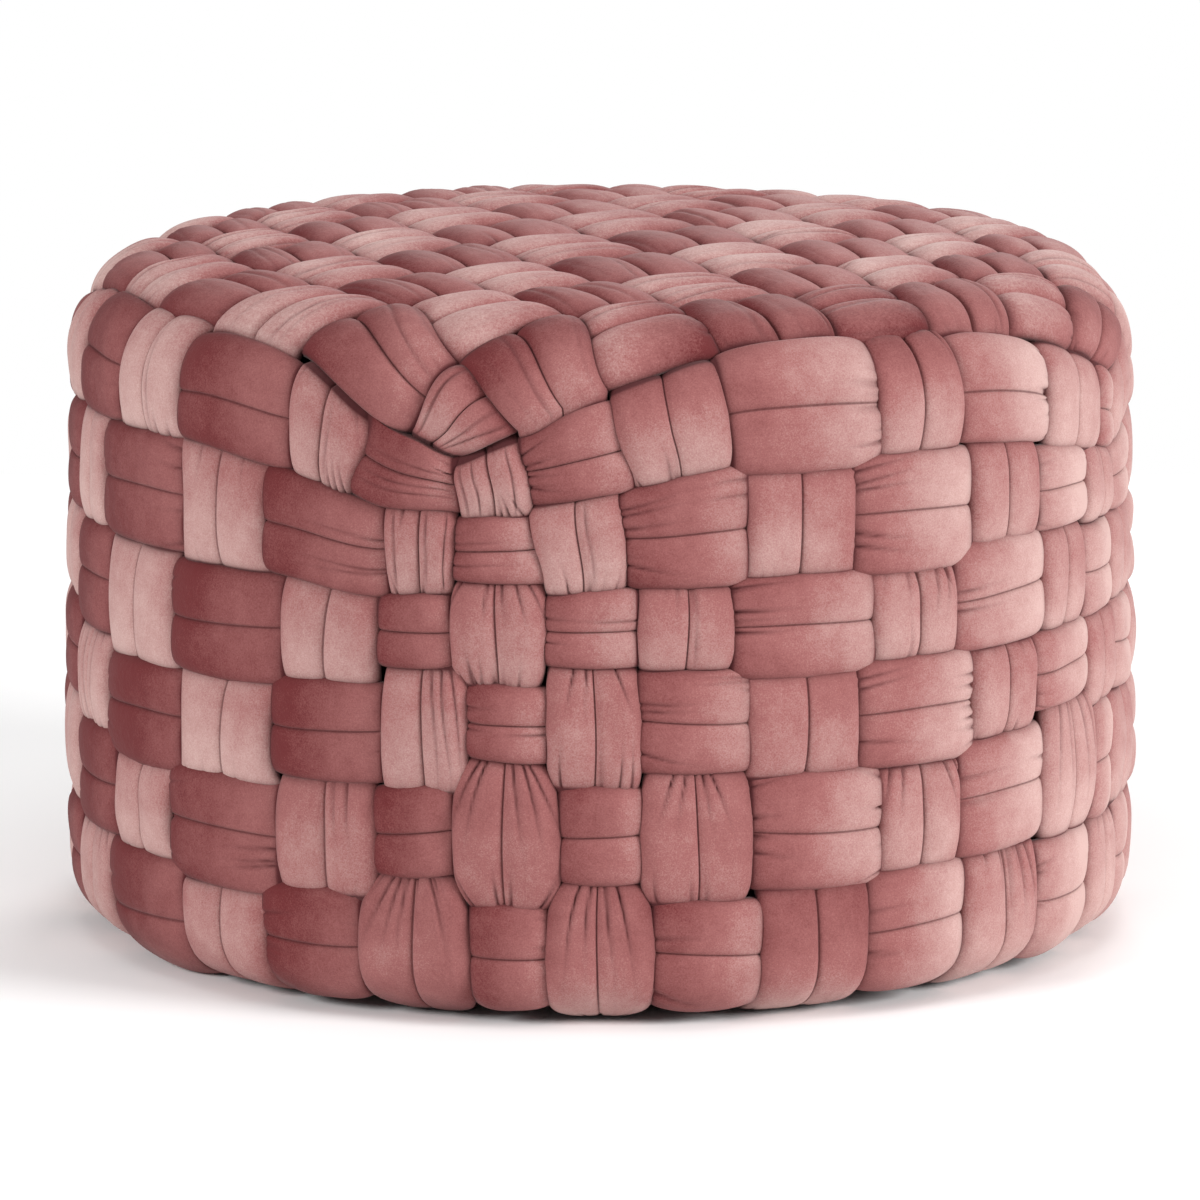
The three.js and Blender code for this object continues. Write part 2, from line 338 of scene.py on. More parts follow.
def hanging_half_width(column, band):
    """Half width, in cells, of a hanging strip where it lies on top: its true width where the column
    leaves room, or else the column's share plus the part that its band lets it spread."""
    natural = STRIP_WIDTH / 2 / column_width(column)
    squeezed = OVER_WIDTH + SPREAD_OF_BAND[band] * (natural - OVER_WIDTH)
    return np.where((natural < OVER_WIDTH) & (band > 0), natural, squeezed)


def half_width_over(way, index, crossing):
    """Half width, in cells, of a strip where it lies on top."""
    if way == "band":
        return np.full(np.shape(crossing), OVER_WIDTH)
    column, band = hanging_cell(way, index, crossing)
    return hanging_half_width(column, band)


# %% [markdown]
# ## Edges of single crossings
# Beside the net itself, the edges of single crossings wander: a hanging strip leans to one side, or
# a hoop is pinched between two others. Both tables are made from the photograph, in
# millimetres from the even place. The first moves the upright edges between hanging strips, one
# number for each edge in turn, towards +X at the front. The second moves the level edges between
# hoops downwards, one number for each column. The rest of the cover keeps its even edges.

# %% Moves of single edges
UPRIGHT_EDGES = table(
    "band first aside",
    (1, -5, [-4, -3, -3, 6, -16, 0, 1, 3, -4, 11, 4, 16, 28]),
    (2, -5, [0, -20, -6, -7, 5, -2, 0, -5, 0, -1, 9, 6, 10]),
    (3, -5, [-6, -13, -7, 2, -1, -1, -3, 1, -6, 6, -2, 12, 2]),
    (4, -5, [0, -10, -6, 0, 3, 3, 2, 0, 1, 1, 9, 1, 8]),
    (5, -5, [-4, -4, -8, -1, -3, 4, 0, 5, 2, 10, 0, 12, 11]),
    (6, -5, [-4, -12, -6, -7, 0, -3, 8, 1, 8, 7, 4, 3, 18]),
)
LEVEL_EDGES = table(
    "row first down",
    (0, -5, [0, 0, 5, 4, -3, 7, 5, 3, -2, 0, 3, 2]),
    (1, -5, [0, 1, 0, 0, 0, 5, 0, -1, 3, -1, -2, 3]),
    (2, -5, [3, 4, 6, 6, 5, -4, 4, 3, -1, 2, -6, -6]),
    (3, -5, [9, 16, 13, 9, -1, 7, -6, -5, 0, -3, -1, -1]),
    (4, -5, [9, 15, 14, 8, 12, -5, 6, -3, 1, 2, -5, -12]),
    (5, -5, [4, 6, 12, 8, -4, 10, -5, 5, 0, -3, -4, 0]),
    (6, -5, [-2, 4, 4, -7, -3, -9, -8, -9, -11, -10, -8, -8]),
)
FOOT_RAISED = -4 * MM


def edge_tables():
    """Sideways moves by band and edge, and downward moves by row and column, in metres. The lowest
    row is raised a little all round, apart from its listed columns."""
    upright = np.zeros((BANDS + 1, COLUMNS))
    level = np.zeros((BANDS + 1, COLUMNS))
    level[BANDS] = FOOT_RAISED
    for line in UPRIGHT_EDGES:
        places = (line["first"] + np.arange(len(line["aside"]))) % COLUMNS
        upright[line["band"], places] = np.array(line["aside"]) * MM
    for line in LEVEL_EDGES:
        columns = (line["first"] + np.arange(len(line["down"]))) % COLUMNS
        level[line["row"], columns] = np.array(line["down"]) * MM
    return upright, level


UPRIGHT, LEVEL = edge_tables()
print(np.count_nonzero(UPRIGHT) + np.count_nonzero(LEVEL), "single edges moved by hand")

# %% Shift and growth along a strip
ROW_HEIGHTS = np.diff(ROW_RUNS)


def edge_shift(way, index, crossing):
    """Shift of a strip's middle and growth of its half width, in cells across the strip, where it
    lies on top of the side: half the sum and half the difference of its two edges' moves."""
    column, band = hanging_cell(way, index, crossing)
    if way == "band":
        size = ROW_HEIGHTS[index]
        upper = -LEVEL[index, column] / size
        lower = -LEVEL[index + 1, column] / size
        return (upper + lower) / 2, (upper - lower) / 2
    size = column_width(column)
    left = UPRIGHT[band, column] / size
    right = UPRIGHT[band, (column + 1) % COLUMNS] / size
    turned = np.where(crossing < BANDS, -1, 1)
    shown = band > 0
    return np.where(shown, turned * (left + right) / 2, 0), np.where(shown, (right - left) / 2, 0)


def carried(way, index, crossing, lobe):
    """The shift and growth along a whole strip: each crossing on top keeps its own, and where the
    strip passes under, it goes over from the last crossing's to the next one's by a smooth step."""
    numbers = np.arange(CROSSINGS[way])
    is_over = lies_over(way, index, numbers)
    share = between(lobe + 0.5)
    result = []
    for value in edge_shift(way, index, numbers):
        own = np.where(is_over, value, 0)
        before = np.roll(own, 1)[crossing]
        after = np.roll(own, -1)[crossing]
        result.append(np.where(is_over[crossing], own[crossing], before + (after - before) * share))
    return result


# %% Places where over turns to under
def switches(way, index):
    """Places along a strip where it changes between over and under: whole crossings, moved to the
    real edge of the strip that crosses it there. On a hoop that edge is moved by what the hanging
    strip is narrower and by its listed move, and on a hanging strip by the row's, but for the last."""
    places = np.arange(CROSSINGS[way] + 1.0)
    if way == "band":
        column = np.arange(COLUMNS)
        narrower = OVER_WIDTH - hanging_half_width(column, index + 1)
        is_hanging = ~lies_over(way, index, column)
        before = np.where(is_hanging, narrower, 0)
        after = np.roll(before, 1)
        aside = np.degrees(UPRIGHT[index + 1] / SIDE_RADIUS)
        moved_edge = np.interp(EDGES[:COLUMNS] + aside, EDGES, np.arange(COLUMNS + 1.0)) - column
        moved_edge[0] = aside[0] / (EDGES[1] - EDGES[0])
        shift = before - after + moved_edge
        return places + np.append(shift, shift[0])
    column, _ = hanging_cell(way, index, np.array([0, CROSSINGS[way] - 1]))
    near = np.append(ROW_HEIGHTS[0], ROW_HEIGHTS)
    shift = LEVEL[:, column] / near[:, None]
    shift[BANDS] = 0
    places[: BANDS + 1] -= shift[::-1, 0]
    places[BANDS + STRIPS :] += shift[:, 1]
    return places


# %% [markdown]
# ## The padded section
# A filled and sewn velvet tube is flat on top with blunt round edges, and its sewn line is a narrow
# cleft between two soft channels. Its section is a superellipse, which is flatter than an ellipse,
# less a cleft that is steep at the line and fades out over a centimetre. The points across are
# crowded towards the edges and the sewn line, where the shape turns quickest.

# %% Section across a strip
TOP_POINTS = 61
UNDER_POINTS = 5
EDGE_CROWDING = 0.55
SEAM_CROWDING = 0.6
SEAM_REACH = 0.14
BLUNTNESS = 7.0
FULLNESS = 2.3


def crowded(count):
    """Positions from -1 to 1, drawn towards both ends by a sine and towards the middle by a bell."""
    even = np.linspace(-1, 1, count)
    position = (1 - EDGE_CROWDING) * even + EDGE_CROWDING * np.sin(even * np.pi / 2)
    return position * (1 - SEAM_CROWDING * np.exp(-((position / SEAM_REACH) ** 2)))


def blunt(position):
    """Superellipse: one less the position to the power BLUNTNESS, all to the power 1 / FULLNESS."""
    return np.clip(1 - np.abs(position) ** BLUNTNESS, 0, None) ** (1 / FULLNESS)


ACROSS_TOP = crowded(TOP_POINTS)
ACROSS_UNDER = np.cos(np.pi * np.arange(1, UNDER_POINTS + 1) / (UNDER_POINTS + 1))
ACROSS = np.concatenate([ACROSS_TOP, ACROSS_UNDER])
IS_TOP = np.arange(len(ACROSS)) < TOP_POINTS
print(len(ACROSS), "points round each section")

# %% Stations along a strip
OVER_ROWS = 24
UNDER_ROWS = 4
END_CROWDING = 0.5


def lobe_steps(count):
    """Positions from -0.5 up to but not at 0.5 along one crossing, drawn towards both ends."""
    share = np.arange(count) / count
    return (1 - END_CROWDING) * (share - 0.5) - END_CROWDING * 0.5 * np.cos(np.pi * share)


def stations(way, index):
    """Crossing number, position in the crossing and place along the route of every section."""
    changes = switches(way, index)
    crossing = []
    lobe = []
    for number in range(CROSSINGS[way]):
        steps = lobe_steps(OVER_ROWS if lies_over(way, index, number) else UNDER_ROWS)
        crossing.append(np.full(len(steps), number))
        lobe.append(steps)
    crossing = np.concatenate(crossing)
    lobe = np.concatenate(lobe)
    along = changes[crossing] + (lobe + 0.5) * (changes[crossing + 1] - changes[crossing])
    return crossing, lobe, along


# %% [markdown]
# ## Rising over, sinking under
# Seen from its side a strip is a row of soft humps: it is nearly level where it lies on top and
# dives steeply at the edges of the strip that crosses it. The sine of a cosine has just that form.
# The strip is thick where it lies on top, and pressed thin and narrow where it passes under. A
# strip that hangs is widest a little below the middle of a crossing, where its filling sinks, and
# it ends under the base in a thin tail.

# %% Sizes of the swell
RISE = 4.6 * MM
DIP = 5.0 * MM
THICK_OVER = 7.4 * MM
THICK_EDGE = 7.2 * MM
THICK_UNDER = 3.6 * MM
FLATNESS = 0.62
STEEPNESS = 0.7
DROOP = 0.09
BARREL_POWER = 4
TAIL_LIFT = 5.2 * MM
TAIL_DIP = -0.6 * MM
TAIL_THICK = 2.6 * MM
TAIL_START = 0.12
SEAT_FADE_START = TOP_END - 25 * MM
SEAT_FADE_END = RIM_END
SEAT_RAISED = 4.0 * MM
SIDE_RAISED = 3.6 * MM

# %% Swell along a strip
def seat_share(run):
    """One on the flat top, easing to nothing at the lower end of the rim."""
    return 1 - between(np.clip((run - SEAT_FADE_START) / (SEAT_FADE_END - SEAT_FADE_START), 0, 1))


def raised(run):
    """How far the whole weave stands above the skin: most on the top, less on the side, and nothing
    under the base."""
    side_share = 1 - between(np.clip((run - WALL_END) / (ROUND_END - WALL_END), 0, 1))
    return SIDE_RAISED * side_share + (SEAT_RAISED - SIDE_RAISED) * seat_share(run)


def swell(lobe):
    """One in the middle of a crossing and nothing at both ends: a cosine, partly made flatter on top
    by taking the sine of a quarter turn times it, and to a power below one, so that it dives late."""
    wave = np.clip(np.cos(np.pi * lobe), 0, 1)
    return ((1 - FLATNESS) * wave + FLATNESS * np.sin(np.pi / 2 * wave)) ** STEEPNESS


def towards_tail(lobe, end):
    """Nothing up to the middle of a strip's last crossing, easing to one at its outer end."""
    return between(np.clip((lobe * end - TAIL_START) / (0.5 - TAIL_START), 0, 1))


# %% Course of a strip
def course(way, index, crossing, lobe):
    """Height of the strip's middle, its half thickness, its half width and its middle line's shift
    in cells, section by section. Height and thickness are their value at the edge of a crossing plus
    the swell's share of the change. The width falls from the middle to the ends of a crossing by the
    fourth power, with the middle moved down where the strip hangs. In the last crossing height and
    thickness ease over to the tail's."""
    over = lies_over(way, index, crossing)
    share = swell(lobe)
    full_rise = np.where(over, RISE, -DIP)
    rise = full_rise * share
    thick = THICK_EDGE + (np.where(over, THICK_OVER, THICK_UNDER) - THICK_EDGE) * share
    shift, growth = carried(way, index, crossing, lobe)
    widest = np.where(over, half_width_over(way, index, crossing), UNDER_WIDTH)
    _, band = hanging_cell(way, index, crossing)
    down = np.where((way != "band") & (crossing < BANDS), -lobe, lobe)
    drooped = down - DROOP * (way != "band") * (band > 0) * (1 - 4 * lobe**2)
    wide = END_WIDTH + (widest - END_WIDTH) * (1 - np.abs(2 * drooped) ** BARREL_POWER) + growth
    if way == "band":
        return rise, thick, wide, shift
    for number, end in ((0, -1), (CROSSINGS[way] - 1, 1)):
        is_over = lies_over(way, index, number)
        tail = np.where(crossing == number, towards_tail(lobe, end), 0)
        level = full_rise * swell(np.where(crossing == number, 0, lobe))
        tail_level = TAIL_LIFT if is_over else TAIL_DIP
        rise = np.where(tail > 0, (1 - tail) * level + tail * tail_level, rise)
        full = THICK_OVER if is_over else THICK_UNDER
        thick = np.where(tail > 0, (1 - tail) * full + tail * TAIL_THICK, thick)
    return rise, thick, wide, shift


# %% [markdown]
# ## Folds, clefts and lumps
# Velvet tubes are squeezed where they pass under a neighbour, so short gathers fan out from the ends
# of every crossing, most of them faint and some deep. Each gather is a trough with a sharp bottom
# between two raised shoulders, and it fades along the strip. The sewn line is a cleft that wanders a
# little, and the filling leaves soft lumps. All of it is moved points, not only bump, so it shows in
# the outline and in the shadows too.

# %% Soft lumps
LUMPS = 4
LUMP = 0.30 * MM
LUMP_SIZES = (0.3, 1.0)
LUMP_TURNS_ALONG = (-1.6, 1.6)
LUMP_TURNS_ACROSS = (-1.1, 1.1)


def seeded(chance, crossing, limits):
    """A seeded number between two limits for every crossing, laid out as a column of sections."""
    return chance.uniform(*limits, crossing.max() + 1)[crossing][:, None]


def waves(chance, crossing, lobe, across):
    """Soft lumps: a few sine waves over each crossing, with seeded directions, phases and sizes."""
    relief = np.zeros(across.shape)
    for _ in range(LUMPS):
        turns_along = seeded(chance, crossing, LUMP_TURNS_ALONG)
        turns_across = seeded(chance, crossing, LUMP_TURNS_ACROSS)
        phase = seeded(chance, crossing, (0, 2 * np.pi))
        size = seeded(chance, crossing, LUMP_SIZES) * LUMP
        turns = turns_along * lobe[:, None] + turns_across * across / 2
        relief += size * np.sin(2 * np.pi * turns + phase)
    return relief


# %% One fold
DEEPEST_FOLD = 2.6 * MM
FOLD_SHARPNESS = 1.25
FOLD_SHADE_POWER = 1.6
SHOULDER = 0.22
SHOULDER_WIDTH = 2.6
HOLD_POWER = 6


def fold(away, width, depth):
    """A fold's height and shade at a distance from its line: a trough that is sharp at the bottom,
    between two shoulders. The trough is an exponential of nearly the plain distance, and the
    shoulders are a wider bell with the trough's own share taken out. The shade is a power of the
    trough, by the fold's share of the deepest."""
    trough = np.exp(-((np.abs(away) / width) ** FOLD_SHARPNESS))
    shoulders = np.exp(-((away / width / SHOULDER_WIDTH) ** 2))
    height = depth * (SHOULDER * shoulders - (1 + SHOULDER) * trough)
    return np.array([height, depth / DEEPEST_FOLD * trough**FOLD_SHADE_POWER])


def held(lobe):
    """One along a crossing and nothing at its ends: one less the sixth power of the way to the end."""
    return 1 - np.abs(2 * lobe) ** HOLD_POWER


# %% Gathers at the ends of crossings
CELL_LENGTH = 55 * MM
GATHERS = 5
GATHER_SPREAD = 0.9
GATHER_ASIDE = (-0.14, 0.14)
GATHER_STRENGTHS = (0.1, 1.1)
TIGHTNESS_POWER = 3
GATHER_POWER = 2
GATHER_LENGTH = (3 * MM, 11 * MM)
GATHER_WIDTH = (0.025, 0.045)
GATHER_FAN = 0.4
GATHER_FADE_POWER = 1.5


def gathers(chance, crossing, lobe, across):
    """Folds at both ends of each crossing. Each lies on a line that fans out from the end, and fades
    with the distance from the end over the fold's length. Seeded strengths are taken to a power, so
    that most folds are faint and some deep."""
    folds = np.zeros((2, *across.shape))
    for end in (-1, 1):
        tightness = seeded(chance, crossing, GATHER_STRENGTHS) ** TIGHTNESS_POWER
        from_end = (0.5 - end * lobe[:, None]) * CELL_LENGTH
        for gather in range(GATHERS):
            slot = (gather + 0.5) / GATHERS * 2 - 1
            centre = slot * GATHER_SPREAD + seeded(chance, crossing, GATHER_ASIDE)
            depth = seeded(chance, crossing, GATHER_STRENGTHS) ** GATHER_POWER * tightness * DEEPEST_FOLD
            length = seeded(chance, crossing, GATHER_LENGTH)
            width = seeded(chance, crossing, GATHER_WIDTH)
            line = centre * (1 + GATHER_FAN * from_end / CELL_LENGTH * 2)
            fade = np.exp(-((np.abs(from_end) / length) ** GATHER_FADE_POWER))
            folds += fold(across - line, width, depth) * fade
    return folds


# %% Creases on the seat
CREASE_PLACES = (-0.75, -0.4, 0.35, 0.7)
CREASE_ASIDE = (-0.15, 0.15)
CREASE_SLANT = (-0.25, 0.25)
CREASE_POWER = 3
CREASE_DEPTH = {"a": 1.5 * MM, "b": 2.4 * MM, "band": 0}
CREASE_WIDTH = 0.04


def seat_creases(chance, way, index, crossing, lobe, across):
    """Long folds on the seat, where sitting has creased the strips: a few lines along each crossing,
    at seeded places, slants and depths, fading out just before its ends."""
    folds = np.zeros((2, *across.shape))
    _, band = hanging_cell(way, index, crossing)
    on_seat = (way != "band") & (band == 0)
    fade = (on_seat * held(lobe))[:, None]
    for place in CREASE_PLACES:
        centre = place + seeded(chance, crossing, CREASE_ASIDE)
        slant = seeded(chance, crossing, CREASE_SLANT)
        depth = seeded(chance, crossing, (0, 1)) ** CREASE_POWER * CREASE_DEPTH[way]
        folds += fold(across - centre - slant * lobe[:, None], CREASE_WIDTH, depth) * fade
    return folds


# %% The sewn line
SEAM_DEPTH = 1.1 * MM
SEAM_WIDTH = 0.24
SEAM_POWER = 2.6
SLIT_DEPTH = 1.0 * MM
SLIT_WIDTH = 0.022
CHANNEL_CROWN = 1.1 * MM


def cleft(across, thick):
    """The sewn line: a steep-sided cleft that fades out over the seam's width, plus a narrow slit,
    between two crowned channels. It is as deep as the strip is thick there."""
    away = np.abs(across)
    wide = np.clip(1 - away / SEAM_WIDTH, 0, None) ** SEAM_POWER
    slit = np.exp(-((away / SLIT_WIDTH) ** 2))
    crown = CHANNEL_CROWN * np.sin(np.pi * away)
    return (crown - SEAM_DEPTH * wide - SLIT_DEPTH * slit) * thick / THICK_OVER


# %% [markdown]
# ## The folds that catch the eye
# Beside the seeded gathers, the front of the ottoman shows folds of its own: long ones where a strip
# is twisted or pinched, and deep tucks at the ends of the strips that bulge near the foot. They are
# listed. Columns count from the front corner and bands from the top. A fold starts at one
# end of a crossing, or runs its whole length. "At" counts across the strip from -1 to 1, left to
# right on a hanging strip and top to bottom on a hoop. Lengths and depths are in millimetres, and
# "fan" is how much further out the fold lies after its length, as a share of its place.

# %% Folds listed one by one
START, WHOLE, END = -1, 0, 1
FOLDS = table(
    "column band end at length depth fan",
    (0, 1, WHOLE, [-0.77, -0.44, 0.62], 60, 1.6, 0),
    (0, 1, END, [0.24, 0.45, 0.8], 13, 2.0, -0.3),
    (-1, 1, WHOLE, [-0.3, 0.25, 0.5], 60, 1.2, 0),
    (-1, 2, WHOLE, [-0.65, 0.22, 0.74], 60, 1.6, 0),
    (-2, 2, END, [-0.22, 0.4, 0.52], 26, 1.6, 0.1),
    (-2, 1, END, [0.35, 0.6, 0.85], 15, 2.2, -0.2),
    (-2, 1, WHOLE, [0.2], 60, 1.1, 0),
    (1, 1, START, [-0.5, -0.15, 0.15, 0.45], 13, 2.4, 0.4),
    (2, 1, END, [-0.2, -0.06], 15, 1.8, 0),
    (0, 2, START, [-0.25, 0.4], 24, 1.7, 0),
    (2, 2, START, [-0.6, -0.45, -0.2, 0.55], 18, 2.1, 0.2),
    (2, 2, END, [-0.75, -0.55], 16, 1.4, 0),
    (1, 2, WHOLE, [0.22], 60, 1.2, 0),
    (0, 3, START, [-0.75, -0.15, 0.15, 0.42, 0.68], 14, 2.2, 0.3),
    (0, 3, END, [-0.6, -0.35, 0.12, 0.5], 9, 1.8, 0),
    (1, 3, END, [-0.27], 34, 1.4, 0),
    (1, 3, START, [-0.35, 0.3], 12, 1.6, 0),
    (2, 3, WHOLE, [0.15], 60, 1.0, 0),
    (2, 3, START, [-0.25, 0.05], 12, 1.8, 0),
    (3, 3, START, [-0.75, -0.3, 0.08], 15, 2.6, 0.1),
    (0, 4, END, [0.22], 30, 1.7, 0),
    (0, 4, START, [-0.4, 0.15], 14, 1.7, 0),
    (1, 4, START, [-0.38, -0.12, 0.5], 13, 2.3, 0.4),
    (1, 4, END, [-0.7, 0.12, 0.55, 0.8], 14, 2.0, 0),
    (2, 4, START, [-0.32, -0.18, 0.6], 20, 2.1, 0.2),
    (2, 4, END, [-0.85, -0.74], 20, 1.4, 0),
    (0, 5, START, [-0.6, -0.4, 0.2, 0.42, 0.6], 21, 2.6, 0.5),
    (0, 5, END, [-0.75, -0.12, 0.15, 0.75], 10, 2.3, 0.2),
    (2, 5, START, [-0.38, -0.18, 0.14, 0.3], 15, 2.5, 0.6),
    (2, 5, END, [-0.75, -0.12, 0.12], 9, 1.9, 0),
    (1, 6, START, [-0.4, -0.15, 0.18, 0.42], 24, 2.6, 0.4),
    (-1, 6, START, [-0.5, -0.32, -0.15, 0.35], 19, 2.4, 0.5),
    (-1, 4, START, [0.25, 0.45, 0.65], 38, 2.0, 0.3),
    (-3, 5, END, [0.22, 0.38, 0.5], 14, 2.2, 0.2),
    (-2, 5, START, [0.45, 0.2], 20, 1.9, 0.1),
    (-5, 4, WHOLE, [-0.5, -0.2, 0.35], 60, 1.6, 0),
    (-4, 1, WHOLE, [0.2], 60, 1.2, 0),
    (-2, 6, START, [-0.4, 0.12], 14, 1.7, 0.2),
    (2, 6, START, [-0.28, 0.6], 17, 2.0, 0.1),
    (4, 2, START, [-0.7, -0.52, -0.38, 0.3, 0.5], 16, 2.3, 0.2),
    (4, 3, START, [0.4, 0.68], 18, 2.0, -0.1),
    (4, 3, END, [-0.25], 16, 1.8, 0),
    (4, 4, START, [-0.65, -0.48, 0.45], 15, 2.1, 0.2),
    (4, 4, END, [-0.5, -0.3, 0.1, 0.3, 0.5], 7, 2.2, 0),
    (4, 5, START, [-0.7, -0.42, 0.55, 0.8], 17, 2.2, 0.3),
    (5, 6, START, [0.1, 0.35, 0.6], 20, 2.2, 0.2),
    (6, 5, START, [-0.5, -0.15, 0.3, 0.6], 28, 2.2, 0.2),
    (3, 1, END, [-0.25, 0.05, 0.6], 10, 2.2, 0),
    (5, 1, END, [-0.08, 0.1], 8, 2.4, 0),
    (5, 3, START, [-0.2, 0.15], 15, 2.0, 0.1),
    (5, 5, START, [-0.35, 0.05], 16, 2.0, 0.1),
    (4, 6, START, [-0.35, 0.3], 14, 1.8, 0.1),
)
print(len(FOLDS), "rows of folds placed by hand")

# %% The listed folds on a strip
HALF_STRIP = 30 * MM
FOLD_WIDTH = 1.1 * MM
FOLD_WAVER = 0.02
WAVER_RATE = 5
WAVER_PHASE = 20


def placed_folds(way, index, crossing, lobe, across):
    """Height and shade of the listed folds on a strip. A strip that climbs the side, or a hoop counted
    from its lower edge, is turned round first, so that the list reads as one looks at it. A fold at
    an end fades by a bell over its length, and every fold's line wavers by a small sine."""
    folds = np.zeros((2, *across.shape))
    column, band = hanging_cell(way, index, crossing)
    climbing = (way != "band") & (crossing < BANDS)
    down = np.where(climbing, -1, 1)[:, None] * lobe[:, None]
    aside = np.where(climbing | (way == "band"), -1, 1)[:, None] * across
    for row in FOLDS:
        here = (column == row["column"] % COLUMNS) & (band == row["band"]) & lies_over(way, index, crossing)
        if not here.any():
            continue
        from_end = np.abs(row["end"] * 0.5 - down[here]) * CELL_LENGTH
        if row["end"] == WHOLE:
            fade = held(down[here])
            from_end = (0.5 + down[here]) * CELL_LENGTH
        else:
            fade = np.exp(-((from_end / (row["length"] * MM)) ** 2))
        for place in row["at"]:
            waver = FOLD_WAVER * np.sin(from_end / CELL_LENGTH * WAVER_RATE + WAVER_PHASE * place)
            line = place * (1 + row["fan"] * from_end / (row["length"] * MM)) + waver
            folds[:, here] += fold(aside[here] - line, FOLD_WIDTH / HALF_STRIP, row["depth"] * MM) * fade
    return folds


# %% [markdown]
# ## Painted sheen and shade of the pile
# Velvet looks light or dark by the way its pile leans, a sheen that changes with the eye. The strips
# were cut with the pile running along them, so one way of the weave looks dark on top and the other
# light, and a hoop changes from dark to light as it goes round. The lean can't follow the eye here,
# because the colour belongs to the piece. So each point stores a painted lightness: the sheen its
# pile shows from the front, worked out from the direction in which the strip runs there, painted
# light and shade by its place and along each crossing, and painted shade by how far it curves away
# at its edges and ends. The material turns that number into a colour.

# %% Painted sheen and shade by heading
LIGHTNESS_MIDDLE = 0.445
PILE_SHEEN_TO_FRONT = 0.40
PILE_SHEEN_FROM_FRONT = 0.50
PILE_SHEEN_TURN_POWER = 1.5
# Painted shade near the foot of the front.
SHADE_AT_FOOT = {"a": 0.18, "b": 0.18, "band": 0.05}
SHADE_AT_FOOT_FRONT = 0.8
SHADE_AT_FOOT_HEIGHT = 250 * MM


def painted_sheen_by_heading(way, line, heading):
    """Painted lightness: a middle value, with painted sheen more where a strip runs away from the front
    and less where it runs towards it, and painted shade near the foot of the front."""
    away = np.clip(heading[:, 1], 0, 1) ** PILE_SHEEN_TURN_POWER
    nearing = np.clip(-heading[:, 1], 0, 1)
    front = -line[:, 1] / SIDE_RADIUS
    facing = between(np.clip((front - SHADE_AT_FOOT_FRONT) / (1 - SHADE_AT_FOOT_FRONT), 0, 1))
    low = between(np.clip(1 - line[:, 2] / SHADE_AT_FOOT_HEIGHT, 0, 1))
    return LIGHTNESS_MIDDLE + PILE_SHEEN_FROM_FRONT * away - PILE_SHEEN_TO_FRONT * nearing - SHADE_AT_FOOT[way] * facing * low


# %% Painted light and shade by place
# Painted sheen where strips hang and turn away, painted light to the right, on the seat and further back,
# and painted shade where seat strips lean over the front edge.
SHEEN_HANGING = 0.17
SHEEN_AWAY = 0.22
SHEEN_AWAY_POWER = 2.5
LIGHT_HANGING_RIGHT = -0.03
LIGHT_SEAT_RIGHT = 0.11
LIGHT_SEAT_LIFT = {"a": 0.32, "b": 0.10}
LIGHT_SEAT_BACK = 0.20
SHADE_LEAN = 2.4
SHADE_LEAN_RUN = (185 * MM, 250 * MM)
SHADE_LEAN_SIDE = (-0.02, 0.32)


def painted_light_by_place(tone_and_painted_light, way, run, line, hanging):
    """A strip's painted values, with painted sheen added where it hangs, more where the side turns away
    and a little less to the right, and painted light where it lies on the seat, more to the right. On
    the seat the strips that run to the front gain painted light further back, and the others take
    painted shade where they lean over the front edge, most to the right."""
    sideways = line[:, 0] / SIDE_RADIUS
    depth = line[:, 1] / SIDE_RADIUS
    level = 1 - hanging
    tone_and_painted_light = tone_and_painted_light + hanging * (SHEEN_HANGING + SHEEN_AWAY * np.abs(sideways) ** SHEEN_AWAY_POWER)
    tone_and_painted_light = tone_and_painted_light + (LIGHT_HANGING_RIGHT * hanging + LIGHT_SEAT_RIGHT * level) * sideways
    tone_and_painted_light = tone_and_painted_light + level * LIGHT_SEAT_LIFT[way]
    if way == "a":
        return tone_and_painted_light + level * LIGHT_SEAT_BACK * depth
    start, end = SHADE_LEAN_RUN
    lean = level * between(np.clip((run - start) / (end - start), 0, 1)) * np.clip(-depth, 0, 1)
    return tone_and_painted_light - SHADE_LEAN * lean * (np.clip(sideways, *SHADE_LEAN_SIDE) - SHADE_LEAN_SIDE[0])


# %% Painted light and shade along and across a strip
# Painted shading along each crossing, painted shade at the seat's ends, at round edges and in the seat's
# sewn valley, and painted light towards one edge on the seat.
HOOP_SHADING = 0.17
HANGING_SHADING = 0.10
SEAT_SHADING = {"a": 0.14, "b": -0.18}
SEAT_END_SHADE = {"a": 0.16, "b": 0.32}
SHADE_FALL_POWER = 4
ROUND_EDGE_SHADE = 0.12
SEAT_ROUND_EDGE_SHADE = 0.28
SEAM_VALLEY_SHADE = 0.24
SEAM_VALLEY_WIDTH = 0.10
SEAT_ACROSS_LIGHT = {"a": 0.09, "b": 0, "band": 0}


